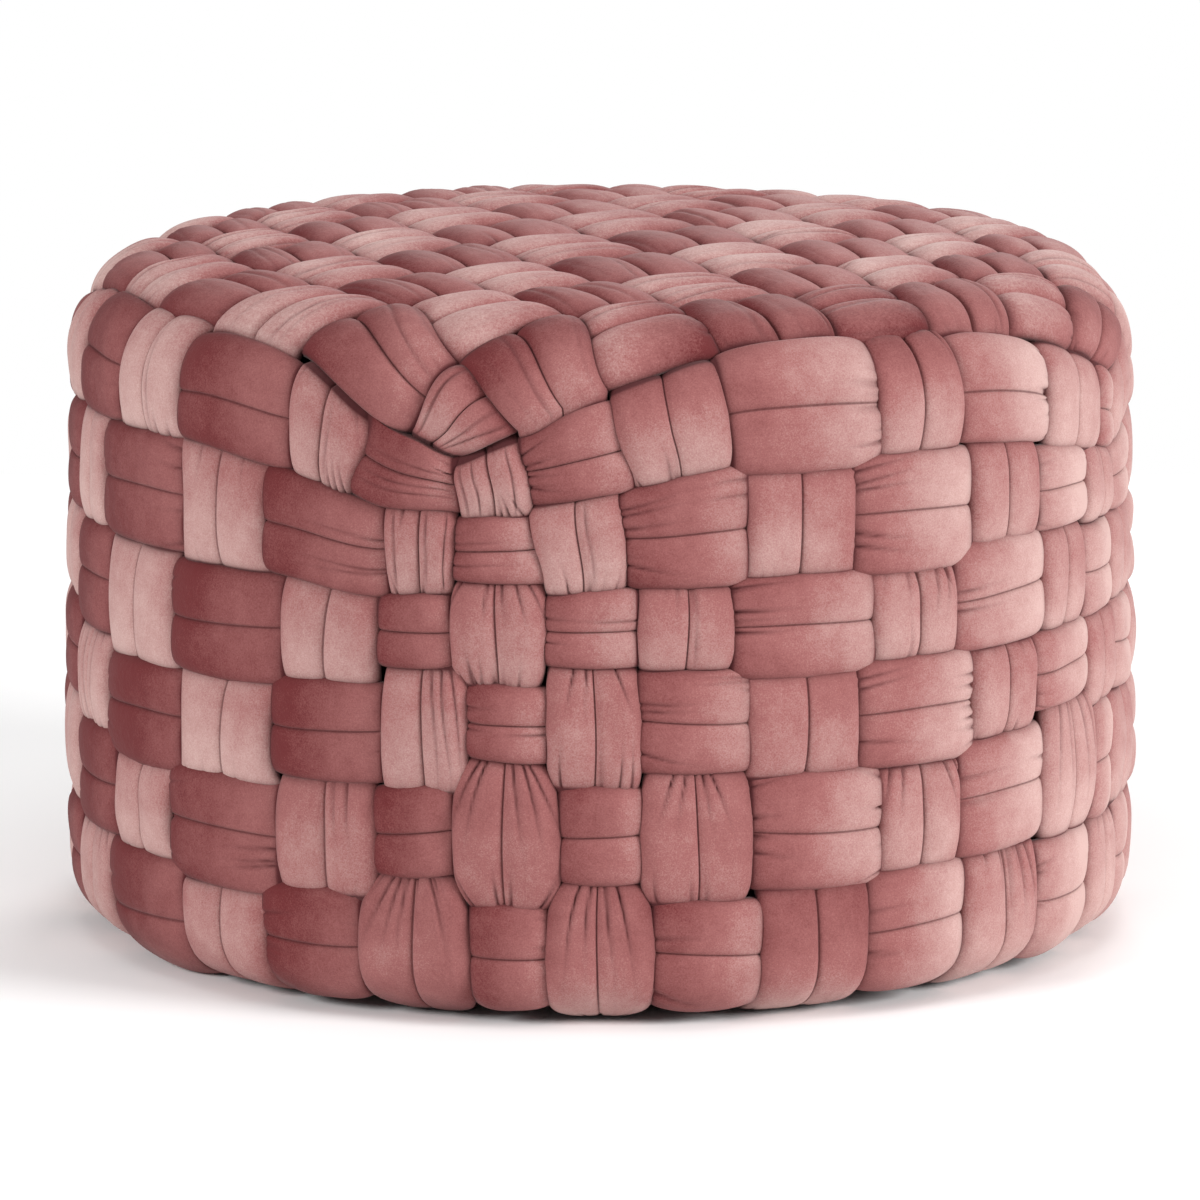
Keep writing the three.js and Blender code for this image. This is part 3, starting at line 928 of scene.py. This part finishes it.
def painted_light_along(way, index, crossing, along, lobe):
    """The painted value of every section. Over each crossing it grows by a sine, as painted shading: to
    the right on a hoop, downwards on a strip that hangs, and to the front or to the left on the seat,
    where painted shade also falls at both ends by the fourth power. The heading is the middle line's
    slope, of length one."""
    azimuth, run = route_place(way, index, along, np.zeros_like(along))
    line = skin_point(azimuth, run, 0)
    heading = np.gradient(line, axis=0)
    heading = heading / np.linalg.norm(heading, axis=1, keepdims=True)
    tone_and_painted_light = painted_sheen_by_heading(way, line, heading)
    if way == "band":
        return tone_and_painted_light + HOOP_SHADING * np.sin(np.pi * lobe)
    tone_and_painted_light = painted_light_by_place(tone_and_painted_light, way, run, line, np.abs(heading[:, 2]))
    _, band = hanging_cell(way, index, crossing)
    growth = np.where(crossing < BANDS, -HANGING_SHADING, HANGING_SHADING)
    growth = np.where(band == 0, SEAT_SHADING[way], growth)
    ends = np.where(band == 0, SEAT_END_SHADE[way], 0) * (2 * lobe) ** SHADE_FALL_POWER
    return tone_and_painted_light + growth * np.sin(np.pi * lobe) - ends


def painted_light_across(tone_and_painted_light, way, seat):
    """The sections' values, with painted shade towards a strip's edges by the fourth power of the way
    across. On the seat also painted shade in the valley of the sewn line, and painted light towards one
    edge."""
    rounded = (ROUND_EDGE_SHADE + (SEAT_ROUND_EDGE_SHADE - ROUND_EDGE_SHADE) * seat) * ACROSS**SHADE_FALL_POWER
    valley = SEAM_VALLEY_SHADE * seat * np.exp(-((ACROSS / SEAM_VALLEY_WIDTH) ** 2))
    return tone_and_painted_light[:, None] - rounded - valley + SEAT_ACROSS_LIGHT[way] * seat * ACROSS


# %% [markdown]
# ## From numbers to a mesh
# A strip is a grid of points: sections one way, points round the section the other. The grid closes
# round the section, and for a hoop also along the strip. Open ends are small and are closed with one
# face each. The strip's own map, in metres along and across, lets the cloth's grain follow it.

# %% Faces of a grid
def grid_faces(rings, around, closed, along, across):
    """Corner numbers, first corners and map of the faces: four-sided ones between neighbouring
    sections, and one at each open end. The order of the corners makes them point outwards."""
    joined = rings if closed else rings - 1
    ring = np.arange(joined)[:, None, None]
    side = np.arange(around)[None, :, None]
    ring_step = np.array([0, 1, 1, 0])
    side_step = np.array([0, 0, 1, 1])
    corners = ((ring + ring_step) % rings) * around + (side + side_step) % around
    loops = corners.reshape(-1)
    starts = np.arange(joined * around) * 4
    along_map = np.broadcast_to(along[ring + ring_step], corners.shape)
    across_map = np.broadcast_to(across[side + side_step], corners.shape)
    maps = np.stack([along_map, across_map], axis=-1).reshape(-1, 2)
    if not closed:
        caps = np.concatenate([np.arange(around), (rings - 1) * around + np.arange(around)[::-1]])
        starts = np.concatenate([starts, len(loops) + np.array([0, around])])
        loops = np.concatenate([loops, caps])
        maps = np.concatenate([maps, np.zeros((2 * around, 2))])
    return loops, starts, maps


# %% Mesh of a grid
def add_piece(name, points, along, across, closed, numbers):
    """Makes the object from a grid of points, with its faces, its map and the numbers, one for each
    point, that a material reads."""
    rings, around = points.shape[:2]
    loops, starts, maps = grid_faces(rings, around, closed, along, across)
    mesh = bpy.data.meshes.new(name)
    mesh.vertices.add(rings * around)
    mesh.vertices.foreach_set("co", points.astype(np.float32).ravel())
    mesh.loops.add(len(loops))
    mesh.loops.foreach_set("vertex_index", loops.astype(np.int32))
    mesh.polygons.add(len(starts))
    mesh.polygons.foreach_set("loop_start", starts.astype(np.int32))
    mesh.update(calc_edges=True)
    mesh.validate()
    mesh.shade_smooth()
    layer = mesh.uv_layers.new(name="Strip")
    layer.data.foreach_set("uv", maps.astype(np.float32).ravel())
    for title, values in numbers.items():
        stored = mesh.attributes.new(title, "FLOAT", "POINT")
        stored.data.foreach_set("value", values.astype(np.float32).ravel())
    piece = bpy.data.objects.new(name, mesh)
    bpy.context.scene.collection.objects.link(piece)
    return piece


# %% Tails and map of a strip
TAIL_STEPS = np.array([0.12, 0.26, 0.36, 0.40, 0.42])
TAIL_ROUNDING = np.array([1.0, 1.0, 0.85, 0.6, 0.25])


def with_tails(way, crossing, lobe, along):
    """Adds a few sections beyond both ends of a hanging strip, and gives each section its rounding:
    one all along, and falling towards the open ends."""
    if way == "band":
        return crossing, lobe, along, np.ones(len(along))
    count = CROSSINGS[way]
    tail = len(TAIL_STEPS)
    rounding = np.concatenate([TAIL_ROUNDING[::-1], np.ones(len(along) + 1), TAIL_ROUNDING])
    along = np.concatenate([-TAIL_STEPS[::-1], along, [count], count + TAIL_STEPS])
    crossing = np.concatenate([np.zeros(tail, int), crossing, np.full(tail + 1, count - 1)])
    lobe = np.concatenate([np.full(tail, -0.5), lobe, np.full(tail + 1, 0.5)])
    return crossing, lobe, along, rounding


def strip_map(way, along):
    """Metres along a strip, which on a hoop go on to one whole turn, and metres across it, with the
    underside rolled out beyond the edges."""
    if way == "band":
        along = np.append(along, along[0] + CROSSINGS[way])
    across = np.where(IS_TOP, ACROSS, np.where(ACROSS < 0, -2, 2) - ACROSS)
    return along * CELL_LENGTH, np.append(across, across[0]) * CELL_LENGTH / 2


# %% Relief and shade of a strip
SEAT_CHANNELS = 2.8
EDGE_SHADE_POWER = 2
DIVE_SHADE_POWER = 5


def relief_of(chance, way, index, crossing, lobe, thick, seat):
    """Height added on the outer side, and a painted shade number from nothing to one. Folds and the sewn
    cleft fade with the root of the superellipse, and lumps with the root of the swell too. The painted
    shade number adds the folds' painted shades to powers of what superellipse and swell lack of one,
    which paint shade on the round edges and where a crossing dives, and it is one, full painted shade,
    wherever the strip is hidden."""
    across = np.broadcast_to(ACROSS, seat.shape)
    over = lies_over(way, index, crossing)[:, None]
    hump = swell(lobe)[:, None]
    rounding = np.sqrt(blunt(ACROSS))
    folds = gathers(chance, crossing, lobe, across)
    folds = folds + placed_folds(way, index, crossing, lobe, across)
    folds = folds + seat_creases(chance, way, index, crossing, lobe, across)
    lumps = waves(chance, crossing, lobe, across)
    relief = np.where(over, folds[0], 0) * rounding
    relief = relief + np.sqrt(np.where(over, hump, 0)) * rounding * lumps
    relief = relief + cleft(ACROSS, thick) * rounding * (1 + (SEAT_CHANNELS - 1) * seat)
    # Painted shade at the round edges and where a crossing dives under its neighbour.
    edge = (1 - blunt(ACROSS)) ** EDGE_SHADE_POWER + (1 - hump) ** DIVE_SHADE_POWER
    painted_shade = np.clip(folds[1] + edge, 0, 1)
    return relief, np.where(IS_TOP & over, painted_shade, 1)


# %% One strip
UNDERSIDE = 0.6
SEAT_RELIEF = 1.5
TAIL_WIDTH = 0.8
ROUNDED_WIDTH = 0.2
SWAY = 0.012
SWAY_PER_STRIP = 2.4
SWAY_PER_CROSSING = 1.7
WANDER = 0.05
WANDER_PER_STRIP = 1.3
WANDER_PER_CROSSING = 2.1
WANDER_PHASES = (0, 6)
NAP_UNEVENNESS = 0.04


def make_strip(name, way, index, seed):
    """Carries the padded section along a route. The lift of a point is the middle's rise plus the
    superellipse times the half thickness, with the relief added on the outer side only. The middle
    line sways, and the sewn line wanders, by a sine of the distance along."""
    chance = np.random.default_rng(seed)
    count = CROSSINGS[way]
    unevenness = chance.normal(0, WIDTH_UNEVENNESS, count)
    crossing, lobe, along, rounding = with_tails(way, *stations(way, index))
    rise, thick, wide, middle_line = course(way, index, crossing, lobe)
    thick = (thick * rounding)[:, None]
    wide = wide * (1 + unevenness[crossing] * swell(lobe)) * (TAIL_WIDTH + ROUNDED_WIDTH * rounding)
    middle_line = SWAY * np.sin(SWAY_PER_STRIP * index + SWAY_PER_CROSSING * along) + middle_line
    phase = chance.uniform(*WANDER_PHASES)
    wander = WANDER * np.sin(WANDER_PER_CROSSING * along + WANDER_PER_STRIP * index + phase)
    across = ACROSS + wander[:, None] * (1 - ACROSS**2)
    across = middle_line[:, None] + wide[:, None] * across
    azimuth, run = route_place(way, index, along[:, None], across)
    seat = seat_share(run)
    relief, painted_shade = relief_of(chance, way, index, crossing, lobe, thick, seat)
    level = rise[:, None] * (1 + (SEAT_RELIEF - 1) * seat) + raised(run)
    half = thick * blunt(ACROSS)
    lift = np.where(IS_TOP, level + half + relief, level - UNDERSIDE * half)
    # Painted sheen and shade, with a seeded tone that differs by crossing.
    tone_and_painted_light = painted_light_along(way, index, crossing, along, lobe)
    tone_and_painted_light = tone_and_painted_light + chance.normal(0, NAP_UNEVENNESS, count)[crossing]
    numbers = {"tone_and_painted_light": painted_light_across(tone_and_painted_light, way, seat), "painted_shade": painted_shade}
    points = skin_point(azimuth, run, lift)
    piece = add_piece(name, points, *strip_map(way, along), way == "band", numbers)
    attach(piece, "root")
    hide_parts(name)
    return piece


# %% All strips
SEED = 20
SEED_STEPS = {"a": 100, "b": 10, "band": 1}
PIECES = {"a": [], "b": [], "band": []}
for way, label in (("a", "strip_a"), ("b", "strip_b"), ("band", "band")):
    for index in range(BANDS if way == "band" else STRIPS):
        seed = SEED + sum(SEED_STEPS[made] * len(group) for made, group in PIECES.items())
        PIECES[way].append(make_strip(f"{label}_{index + 1}", way, index, seed))
strips = [piece for group in PIECES.values() for piece in group]
triangles = sum(len(piece.data.loops) - 2 * len(piece.data.polygons) for piece in strips)
print("strips have", triangles, "triangles in all")

# %% [markdown]
# ## The stuffed body
# Inside the weave is a round cushion of plain cloth. Only its colour shows in the small gaps between
# crossings, where its very dark colour is painted shade, and its flat base shows, on which the
# ottoman stands. It is a profile turned round the axis, with one small face to close it at the top
# and one under the base.

# %% Body mesh
BODY_CLEARANCE = 9.5 * MM
BASE_PAD_RADIUS = 232 * MM
BASE_PAD_BEVEL = 4 * MM
BODY_SIDES = 128
BODY_STEPS = 90


def body_profile():
    """The skin's profile moved inwards, from the base pad's rim up to the top's centre, after the
    flat pad from its own centre out to its bevelled rim."""
    first_run = TOP_END / BODY_STEPS
    pad_run = ROUND_END + SIDE_RADIUS - BASE_ROUNDING - BASE_PAD_RADIUS
    radius, height, out, up = profile_at(np.linspace(pad_run, first_run, BODY_STEPS))
    radius = radius - BODY_CLEARANCE * out
    height = height - BODY_CLEARANCE * up
    pad_radius = [first_run, BASE_PAD_RADIUS / 2, BASE_PAD_RADIUS - BASE_PAD_BEVEL, BASE_PAD_RADIUS]
    pad_height = [0, 0, 0, BASE_PAD_BEVEL]
    return np.append(pad_radius, radius), np.append(pad_height, height)


body_radius, body_height = body_profile()
turn = np.linspace(0, 2 * np.pi, BODY_SIDES, endpoint=False)[::-1]
ring_x = body_radius[:, None] * np.sin(turn)
ring_y = -body_radius[:, None] * np.cos(turn)
ring_z = np.broadcast_to(body_height[:, None], ring_x.shape)
body_points = np.stack([ring_x, ring_y, ring_z], axis=-1)
body_run = np.append(0, np.cumsum(np.hypot(np.diff(body_radius), np.diff(body_height))))
turn_share = np.linspace(0, 1, BODY_SIDES + 1)
stuffed_body = add_piece("stuffed_body", body_points, body_run, turn_share, False, {})
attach(stuffed_body, "root")
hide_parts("stuffed_body")
print("body radius", round(body_radius.max() / MM), "mm")

# %% [markdown]
# ## Node helpers
# Materials are built from a few kinds of nodes. One helper adds a node and sets or joins its inputs,
# and the others are short names for the kinds that the recipes below use again and again: a sum or
# product, a noise, a change of limits, a ramp of colours and a bump.

# %% Helpers for materials
def new_material(name):
    """A new material and its shader, which the recipes below fill in."""
    material = bpy.data.materials.new(name)
    material.use_nodes = True
    return material, material.node_tree.nodes["Principled BSDF"]


def add_node(material, kind, settings=None, **inputs):
    """Adds a node to a material or the world, sets its own settings, and sets or joins each input, by
    its name or, where several share a name, by n and its number."""
    node = material.node_tree.nodes.new(kind)
    for key, value in (settings or {}).items():
        setattr(node, key, value)
    for key, value in inputs.items():
        socket = node.inputs[int(key[1:])] if key[0] == "n" and key[1:].isdigit() else node.inputs[key]
        if isinstance(value, bpy.types.NodeSocket):
            material.node_tree.links.new(value, socket)
        else:
            socket.default_value = value
    return node


def join(material, output, node, name):
    """Joins an output to a named input."""
    material.node_tree.links.new(output, node.inputs[name])


# %% Short names for kinds of nodes
def worked_out(material, operation, *values):
    """The result of a Math node for up to three values."""
    inputs = {f"n{number}": value for number, value in enumerate(values)}
    return add_node(material, "ShaderNodeMath", {"operation": operation}, **inputs).outputs[0]


def noise(material, place, **inputs):
    """A noise value from nothing to one at a place."""
    return add_node(material, "ShaderNodeTexNoise", Vector=place, **inputs).outputs["Fac"]


def ranged(material, value, limits=(0, 1), becomes=(0, 1), how="LINEAR"):
    """A value carried over from one pair of limits to another."""
    names = ("From Min", "From Max", "To Min", "To Max")
    inputs = dict(zip(names, (*limits, *becomes)))
    settings = {"interpolation_type": how}
    return add_node(material, "ShaderNodeMapRange", settings, Value=value, **inputs).outputs[0]


def coloured(material, value, dark, light, middle=None):
    """A colour for a value, on a ramp from dark to light, by way of a middle colour if there is one."""
    ramp = add_node(material, "ShaderNodeValToRGB", Fac=value)
    ramp.color_ramp.elements[0].color = dark
    ramp.color_ramp.elements[1].color = light
    if middle:
        ramp.color_ramp.elements.new(0.5).color = middle
    return ramp.outputs["Color"]


def bumped(material, height, strength, distance, below=None, invert=False):
    """The normal that a height gives, on top of the normal of an earlier bump."""
    inputs = {"Height": height, "Strength": strength, "Distance": distance}
    if below:
        inputs["Normal"] = below
    return add_node(material, "ShaderNodeBump", {"invert": invert}, **inputs).outputs[0]


# %% [markdown]
# ## Dusty pink velvet
# Velvet scatters light at its edges, so the shader has sheen. Its colour runs from a dark rose where
# the pile leans towards the eye to a pale pink where it leans away, by the number stored on each
# point, which holds the pile's painted sheen and painted shade. Brushed patches make it mottled, long
# faint streaks follow the strip, small tufts of the pile show, more strongly on the seat as painted
# glints of the pile tips, and the pile itself is a very fine bump. Creases, round edges, the ends of
# crossings, hidden parts and the sewn line are darker: painted shade.

# %% The sewn line's shade
SEWN_FADE = (0.62 * MM, 0.12 * MM)
STITCH_LENGTH = 3.6 * MM
BETWEEN_STITCHES = 0.88


def sewn_line(material, strip):
    """One on the sewn line, which lies at no distance across, falling to nothing just beside it. A
    wave along it, one turn a stitch, makes it fainter between the stitches."""
    parts = add_node(material, "ShaderNodeSeparateXYZ", Vector=strip)
    away = worked_out(material, "ABSOLUTE", parts.outputs["Y"])
    line = ranged(material, away, limits=SEWN_FADE, how="SMOOTHSTEP")
    turns = worked_out(material, "MULTIPLY", parts.outputs["X"], 2 * np.pi / STITCH_LENGTH)
    wave = worked_out(material, "SINE", turns)
    stitch = ranged(material, wave, limits=(-1, 1), becomes=(BETWEEN_STITCHES, 1))
    return worked_out(material, "MULTIPLY", line, stitch)


# %% Tufts of the pile, with painted glints on the seat
TUFTS = {"Scale": 560, "Detail": 2, "Roughness": 0.6}
TUFTS_ON_SIDE = 0.12
TUFTS_AND_GLINTS_ON_SEAT = {"a": 0.20, "b": 0.42, "band": 0.12}
SEAT_HEIGHTS = (330 * MM, 365 * MM)


def offset_by(material, value, share):
    """A noise value made into an offset about nothing: the share times the value less one half."""
    return worked_out(material, "MULTIPLY_ADD", value, share, -share / 2)


def tufted(material, place, on_seat):
    """An offset of small tufts, whose share grows from the side's to the seat's with the height; the
    seat's larger share is painted glints of the pile tips.
    """
    height = add_node(material, "ShaderNodeSeparateXYZ", Vector=place).outputs["Z"]
    share = ranged(material, height, limits=SEAT_HEIGHTS, becomes=(TUFTS_ON_SIDE, on_seat))
    centred = offset_by(material, noise(material, place, **TUFTS), 1)
    return worked_out(material, "MULTIPLY", centred, share)


# %% Values of the velvet
# Ramp of the painted sheen and shade number, from dark rose to pale pink.
VELVET_DARK = (0.126, 0.019, 0.021, 1)
VELVET_MIDDLE = (0.300, 0.112, 0.108, 1)
VELVET_LIGHT = (0.532, 0.352, 0.326, 1)
# Colour and strength of the painted shade, and the sewn line's share of it.
VELVET_PAINTED_SHADE = (0.068, 0.014, 0.016, 1)
PAINTED_SHADE_STRENGTH = 0.95
SEWN_SHADE = 0.7
SEWN_BUMP = (0.5, 0.6 * MM)
BRUSHED = {"Scale": 22, "Detail": 3, "Roughness": 0.55}
BRUSHED_SHARE = 0.38
PATCHES = {"Scale": 90, "Detail": 4, "Roughness": 0.62}
PATCHES_SHARE = 0.26
PATCHES_BUMP = (0.35, 2 * MM)
STREAKS = {"Scale": 1, "Detail": 3}
STREAKS_PER_METRE = (90, 420, 1)
STREAKS_SHARE = 0.06
STREAKS_BUMP = (0.25, 0.8 * MM)
PILE = {"Scale": 1300, "Detail": 2, "Roughness": 0.7}
PILE_SHARE = 0.55
PILE_BUMP = (0.35, 0.4 * MM)
ROUGHNESS = (0.72, 0.95)
SPECULAR = 0.14
SHEEN = {"a": 0.09, "b": 0.12, "band": 0.09}
SHEEN_ROUGHNESS = 0.5
SHEEN_TINT = (1.0, 0.93, 0.90, 1)

# %% Velvet material
def velvet(name, sheen, tufts_and_glints_on_seat):
    """Colour by the painted sheen and shade number, mottled and brushed; painted shade in creases, at
    edges and ends and on the sewn line; sheen; fine pile, streaks, brushed patches and the pull of the
    stitches as bump."""
    material, shader = new_material(name)
    place = add_node(material, "ShaderNodeTexCoord").outputs["Object"]
    strip = add_node(material, "ShaderNodeUVMap", {"uv_map": "Strip"}).outputs["UV"]
    # The painted sheen and shade number, and the painted shade number.
    tone_and_painted_light = add_node(material, "ShaderNodeAttribute", {"attribute_name": "tone_and_painted_light"}).outputs["Fac"]
    painted_shade = add_node(material, "ShaderNodeAttribute", {"attribute_name": "painted_shade"}).outputs["Fac"]
    stretched = add_node(material, "ShaderNodeMapping", Vector=strip, Scale=STREAKS_PER_METRE).outputs[0]
    brushed = noise(material, place, **BRUSHED)
    patches = noise(material, place, **PATCHES)
    streaks = noise(material, stretched, **STREAKS)
    pile = noise(material, place, **PILE)
    lightness = tone_and_painted_light
    for offset in (
        offset_by(material, brushed, BRUSHED_SHARE),
        offset_by(material, patches, PATCHES_SHARE),
        offset_by(material, streaks, STREAKS_SHARE),
        tufted(material, place, tufts_and_glints_on_seat),
        offset_by(material, pile, PILE_SHARE),
    ):
        lightness = worked_out(material, "ADD", lightness, offset)
    cloth = coloured(material, lightness, VELVET_DARK, VELVET_LIGHT, VELVET_MIDDLE)
    sewn = sewn_line(material, strip)
    # Painted shade: the deeper of the painted shade number and the sewn line's painted shade.
    deepest = worked_out(material, "MAXIMUM", painted_shade, worked_out(material, "MULTIPLY", sewn, SEWN_SHADE))
    shade = worked_out(material, "MULTIPLY", deepest, PAINTED_SHADE_STRENGTH)
    settings = {"data_type": "RGBA", "blend_type": "MIX"}
    colour = add_node(material, "ShaderNodeMix", settings, n0=shade, n6=cloth, n7=VELVET_PAINTED_SHADE)
    join(material, colour.outputs[2], shader, "Base Color")
    join(material, ranged(material, patches, becomes=ROUGHNESS), shader, "Roughness")
    normal = bumped(material, pile, *PILE_BUMP)
    normal = bumped(material, streaks, *STREAKS_BUMP, below=normal)
    normal = bumped(material, patches, *PATCHES_BUMP, below=normal)
    normal = bumped(material, sewn, *SEWN_BUMP, below=normal, invert=True)
    join(material, normal, shader, "Normal")
    shader.inputs["Specular IOR Level"].default_value = SPECULAR
    shader.inputs["Sheen Weight"].default_value = sheen
    shader.inputs["Sheen Roughness"].default_value = SHEEN_ROUGHNESS
    shader.inputs["Sheen Tint"].default_value = SHEEN_TINT
    return material


# %% Velvet on the strips
SLOTS = {"a": "velvet_a", "b": "velvet_b", "band": "velvet_band"}
for way, group in PIECES.items():
    finish = velvet(SLOTS[way], SHEEN[way], TUFTS_AND_GLINTS_ON_SEAT[way])
    for piece in group:
        piece.data.materials.append(finish)
print(len(SLOTS), "velvets, with", len(finish.node_tree.nodes), "nodes each")

# %% Body cloth, dark as painted shade
CLOTH_AND_GAP_SHADE_DARK = (0.085, 0.031, 0.030, 1)
CLOTH_AND_GAP_SHADE_LIGHT = (0.160, 0.062, 0.059, 1)
CLOTH_PATCHES = {"Scale": 40, "Detail": 4}
THREADS = 260
THREADS_BUMP = (0.5, 0.5 * MM)
CLOTH_ROUGHNESS = (0.95, 0.8)


def threads(material, place, direction):
    """Fine even bands one way, as the threads of a plain weave."""
    settings = {"bands_direction": direction}
    return add_node(material, "ShaderNodeTexWave", settings, Vector=place, Scale=THREADS).outputs["Fac"]


def body_cloth():
    """Plain woven cloth, very dark as painted shade for the gaps between crossings: the higher of two
    crossed sets of threads is its relief, and a noise makes its colour a little uneven."""
    material, shader = new_material("body_cloth")
    place = add_node(material, "ShaderNodeTexCoord").outputs["Object"]
    woven = worked_out(material, "MAXIMUM", threads(material, place, "X"), threads(material, place, "Y"))
    patches = noise(material, place, **CLOTH_PATCHES)
    join(material, coloured(material, patches, CLOTH_AND_GAP_SHADE_DARK, CLOTH_AND_GAP_SHADE_LIGHT), shader, "Base Color")
    join(material, ranged(material, woven, becomes=CLOTH_ROUGHNESS), shader, "Roughness")
    join(material, bumped(material, woven, *THREADS_BUMP), shader, "Normal")
    return material


stuffed_body.data.materials.append(body_cloth())

# %% [markdown]
# ## Floor, light and camera
# A product picture on white: a pale floor and four large soft lamps, overhead, to the left, to the
# right and behind, so that every tile keeps a soft shadow under its edges. The surround is white
# where the camera sees it and dimmer as a light, as a white backdrop behind a lit product would be.
# The camera stands far off with a long lens and looks down a little.

# %% Floor
FLOOR_HALF = 1.4
FLOOR_COLOUR = (0.97, 0.97, 0.97, 1)
FLOOR_ROUGHNESS = 0.9
floor_corners = [(x * FLOOR_HALF, y * FLOOR_HALF, 0) for x, y in ((-1, -1), (1, -1), (1, 1), (-1, 1))]
floor_mesh = bpy.data.meshes.new("floor")
floor_mesh.from_pydata(floor_corners, [], [(0, 1, 2, 3)])
floor = bpy.data.objects.new("floor", floor_mesh)
bpy.context.scene.collection.objects.link(floor)
floor_finish, floor_shader = new_material("pale_floor")
floor_shader.inputs["Base Color"].default_value = FLOOR_COLOUR
floor_shader.inputs["Roughness"].default_value = FLOOR_ROUGHNESS
floor_mesh.materials.append(floor_finish)

# %% Lights
LAMP_AIM = (0, 0, 0.2)
SOFT_BOXES = {
    "overhead": {"place": (0, -0.4, 2.4), "size": 1.6, "power": 13},
    "left": {"place": (-2.8, -2.2, 1.7), "size": 1.4, "power": 96},
    "right": {"place": (3.1, -1.6, 1.4), "size": 1.4, "power": 130},
    "behind": {"place": (0.8, 3.2, 1.8), "size": 1.6, "power": 52},
}
for label, box in SOFT_BOXES.items():
    lamp = bpy.data.lights.new(label, "AREA")
    lamp.shape = "DISK"
    lamp.size = box["size"]
    lamp.energy = box["power"]
    light = bpy.data.objects.new(label, lamp)
    light.location = box["place"]
    light.rotation_mode = "QUATERNION"
    light.rotation_quaternion = (Vector(LAMP_AIM) - Vector(box["place"])).to_track_quat("-Z", "Y")
    bpy.context.scene.collection.objects.link(light)
print(len(SOFT_BOXES), "soft lamps")

# %% Surround
SURROUND_COLOUR = (1, 1, 1, 1)
SURROUND_STRENGTH = (0.30, 1.0)
world = bpy.data.worlds.new("surround")
world.use_nodes = True
surround = world.node_tree.nodes["Background"]
surround.inputs["Color"].default_value = SURROUND_COLOUR
seen = add_node(world, "ShaderNodeLightPath").outputs["Is Camera Ray"]
join(world, ranged(world, seen, becomes=SURROUND_STRENGTH), surround, "Strength")
bpy.context.scene.world = world
bpy.context.scene.view_settings.view_transform = "Standard"

# %% Camera
CAMERA_DISTANCE = 4.0
CAMERA_HEIGHT = 0.956
CAMERA_SLOPE = 0.195
CAMERA_LENS = 216.03
SENSOR_WIDTH = 36
camera_data = bpy.data.cameras.new("camera")
camera_data.lens = CAMERA_LENS
camera_data.sensor_width = SENSOR_WIDTH
camera = bpy.data.objects.new("camera", camera_data)
camera.location = (0, -CAMERA_DISTANCE, CAMERA_HEIGHT)
camera.rotation_euler = (np.pi / 2 - np.arctan(CAMERA_SLOPE), 0, 0)
bpy.context.scene.collection.objects.link(camera)
bpy.context.scene.camera = camera
print("the camera looks down by", round(float(np.degrees(np.arctan(CAMERA_SLOPE))), 1), "degrees")

# %% [markdown]
# ## Last update
# The scene is brought up to date once more at the end.

# %% Last update
bpy.context.view_layer.update()
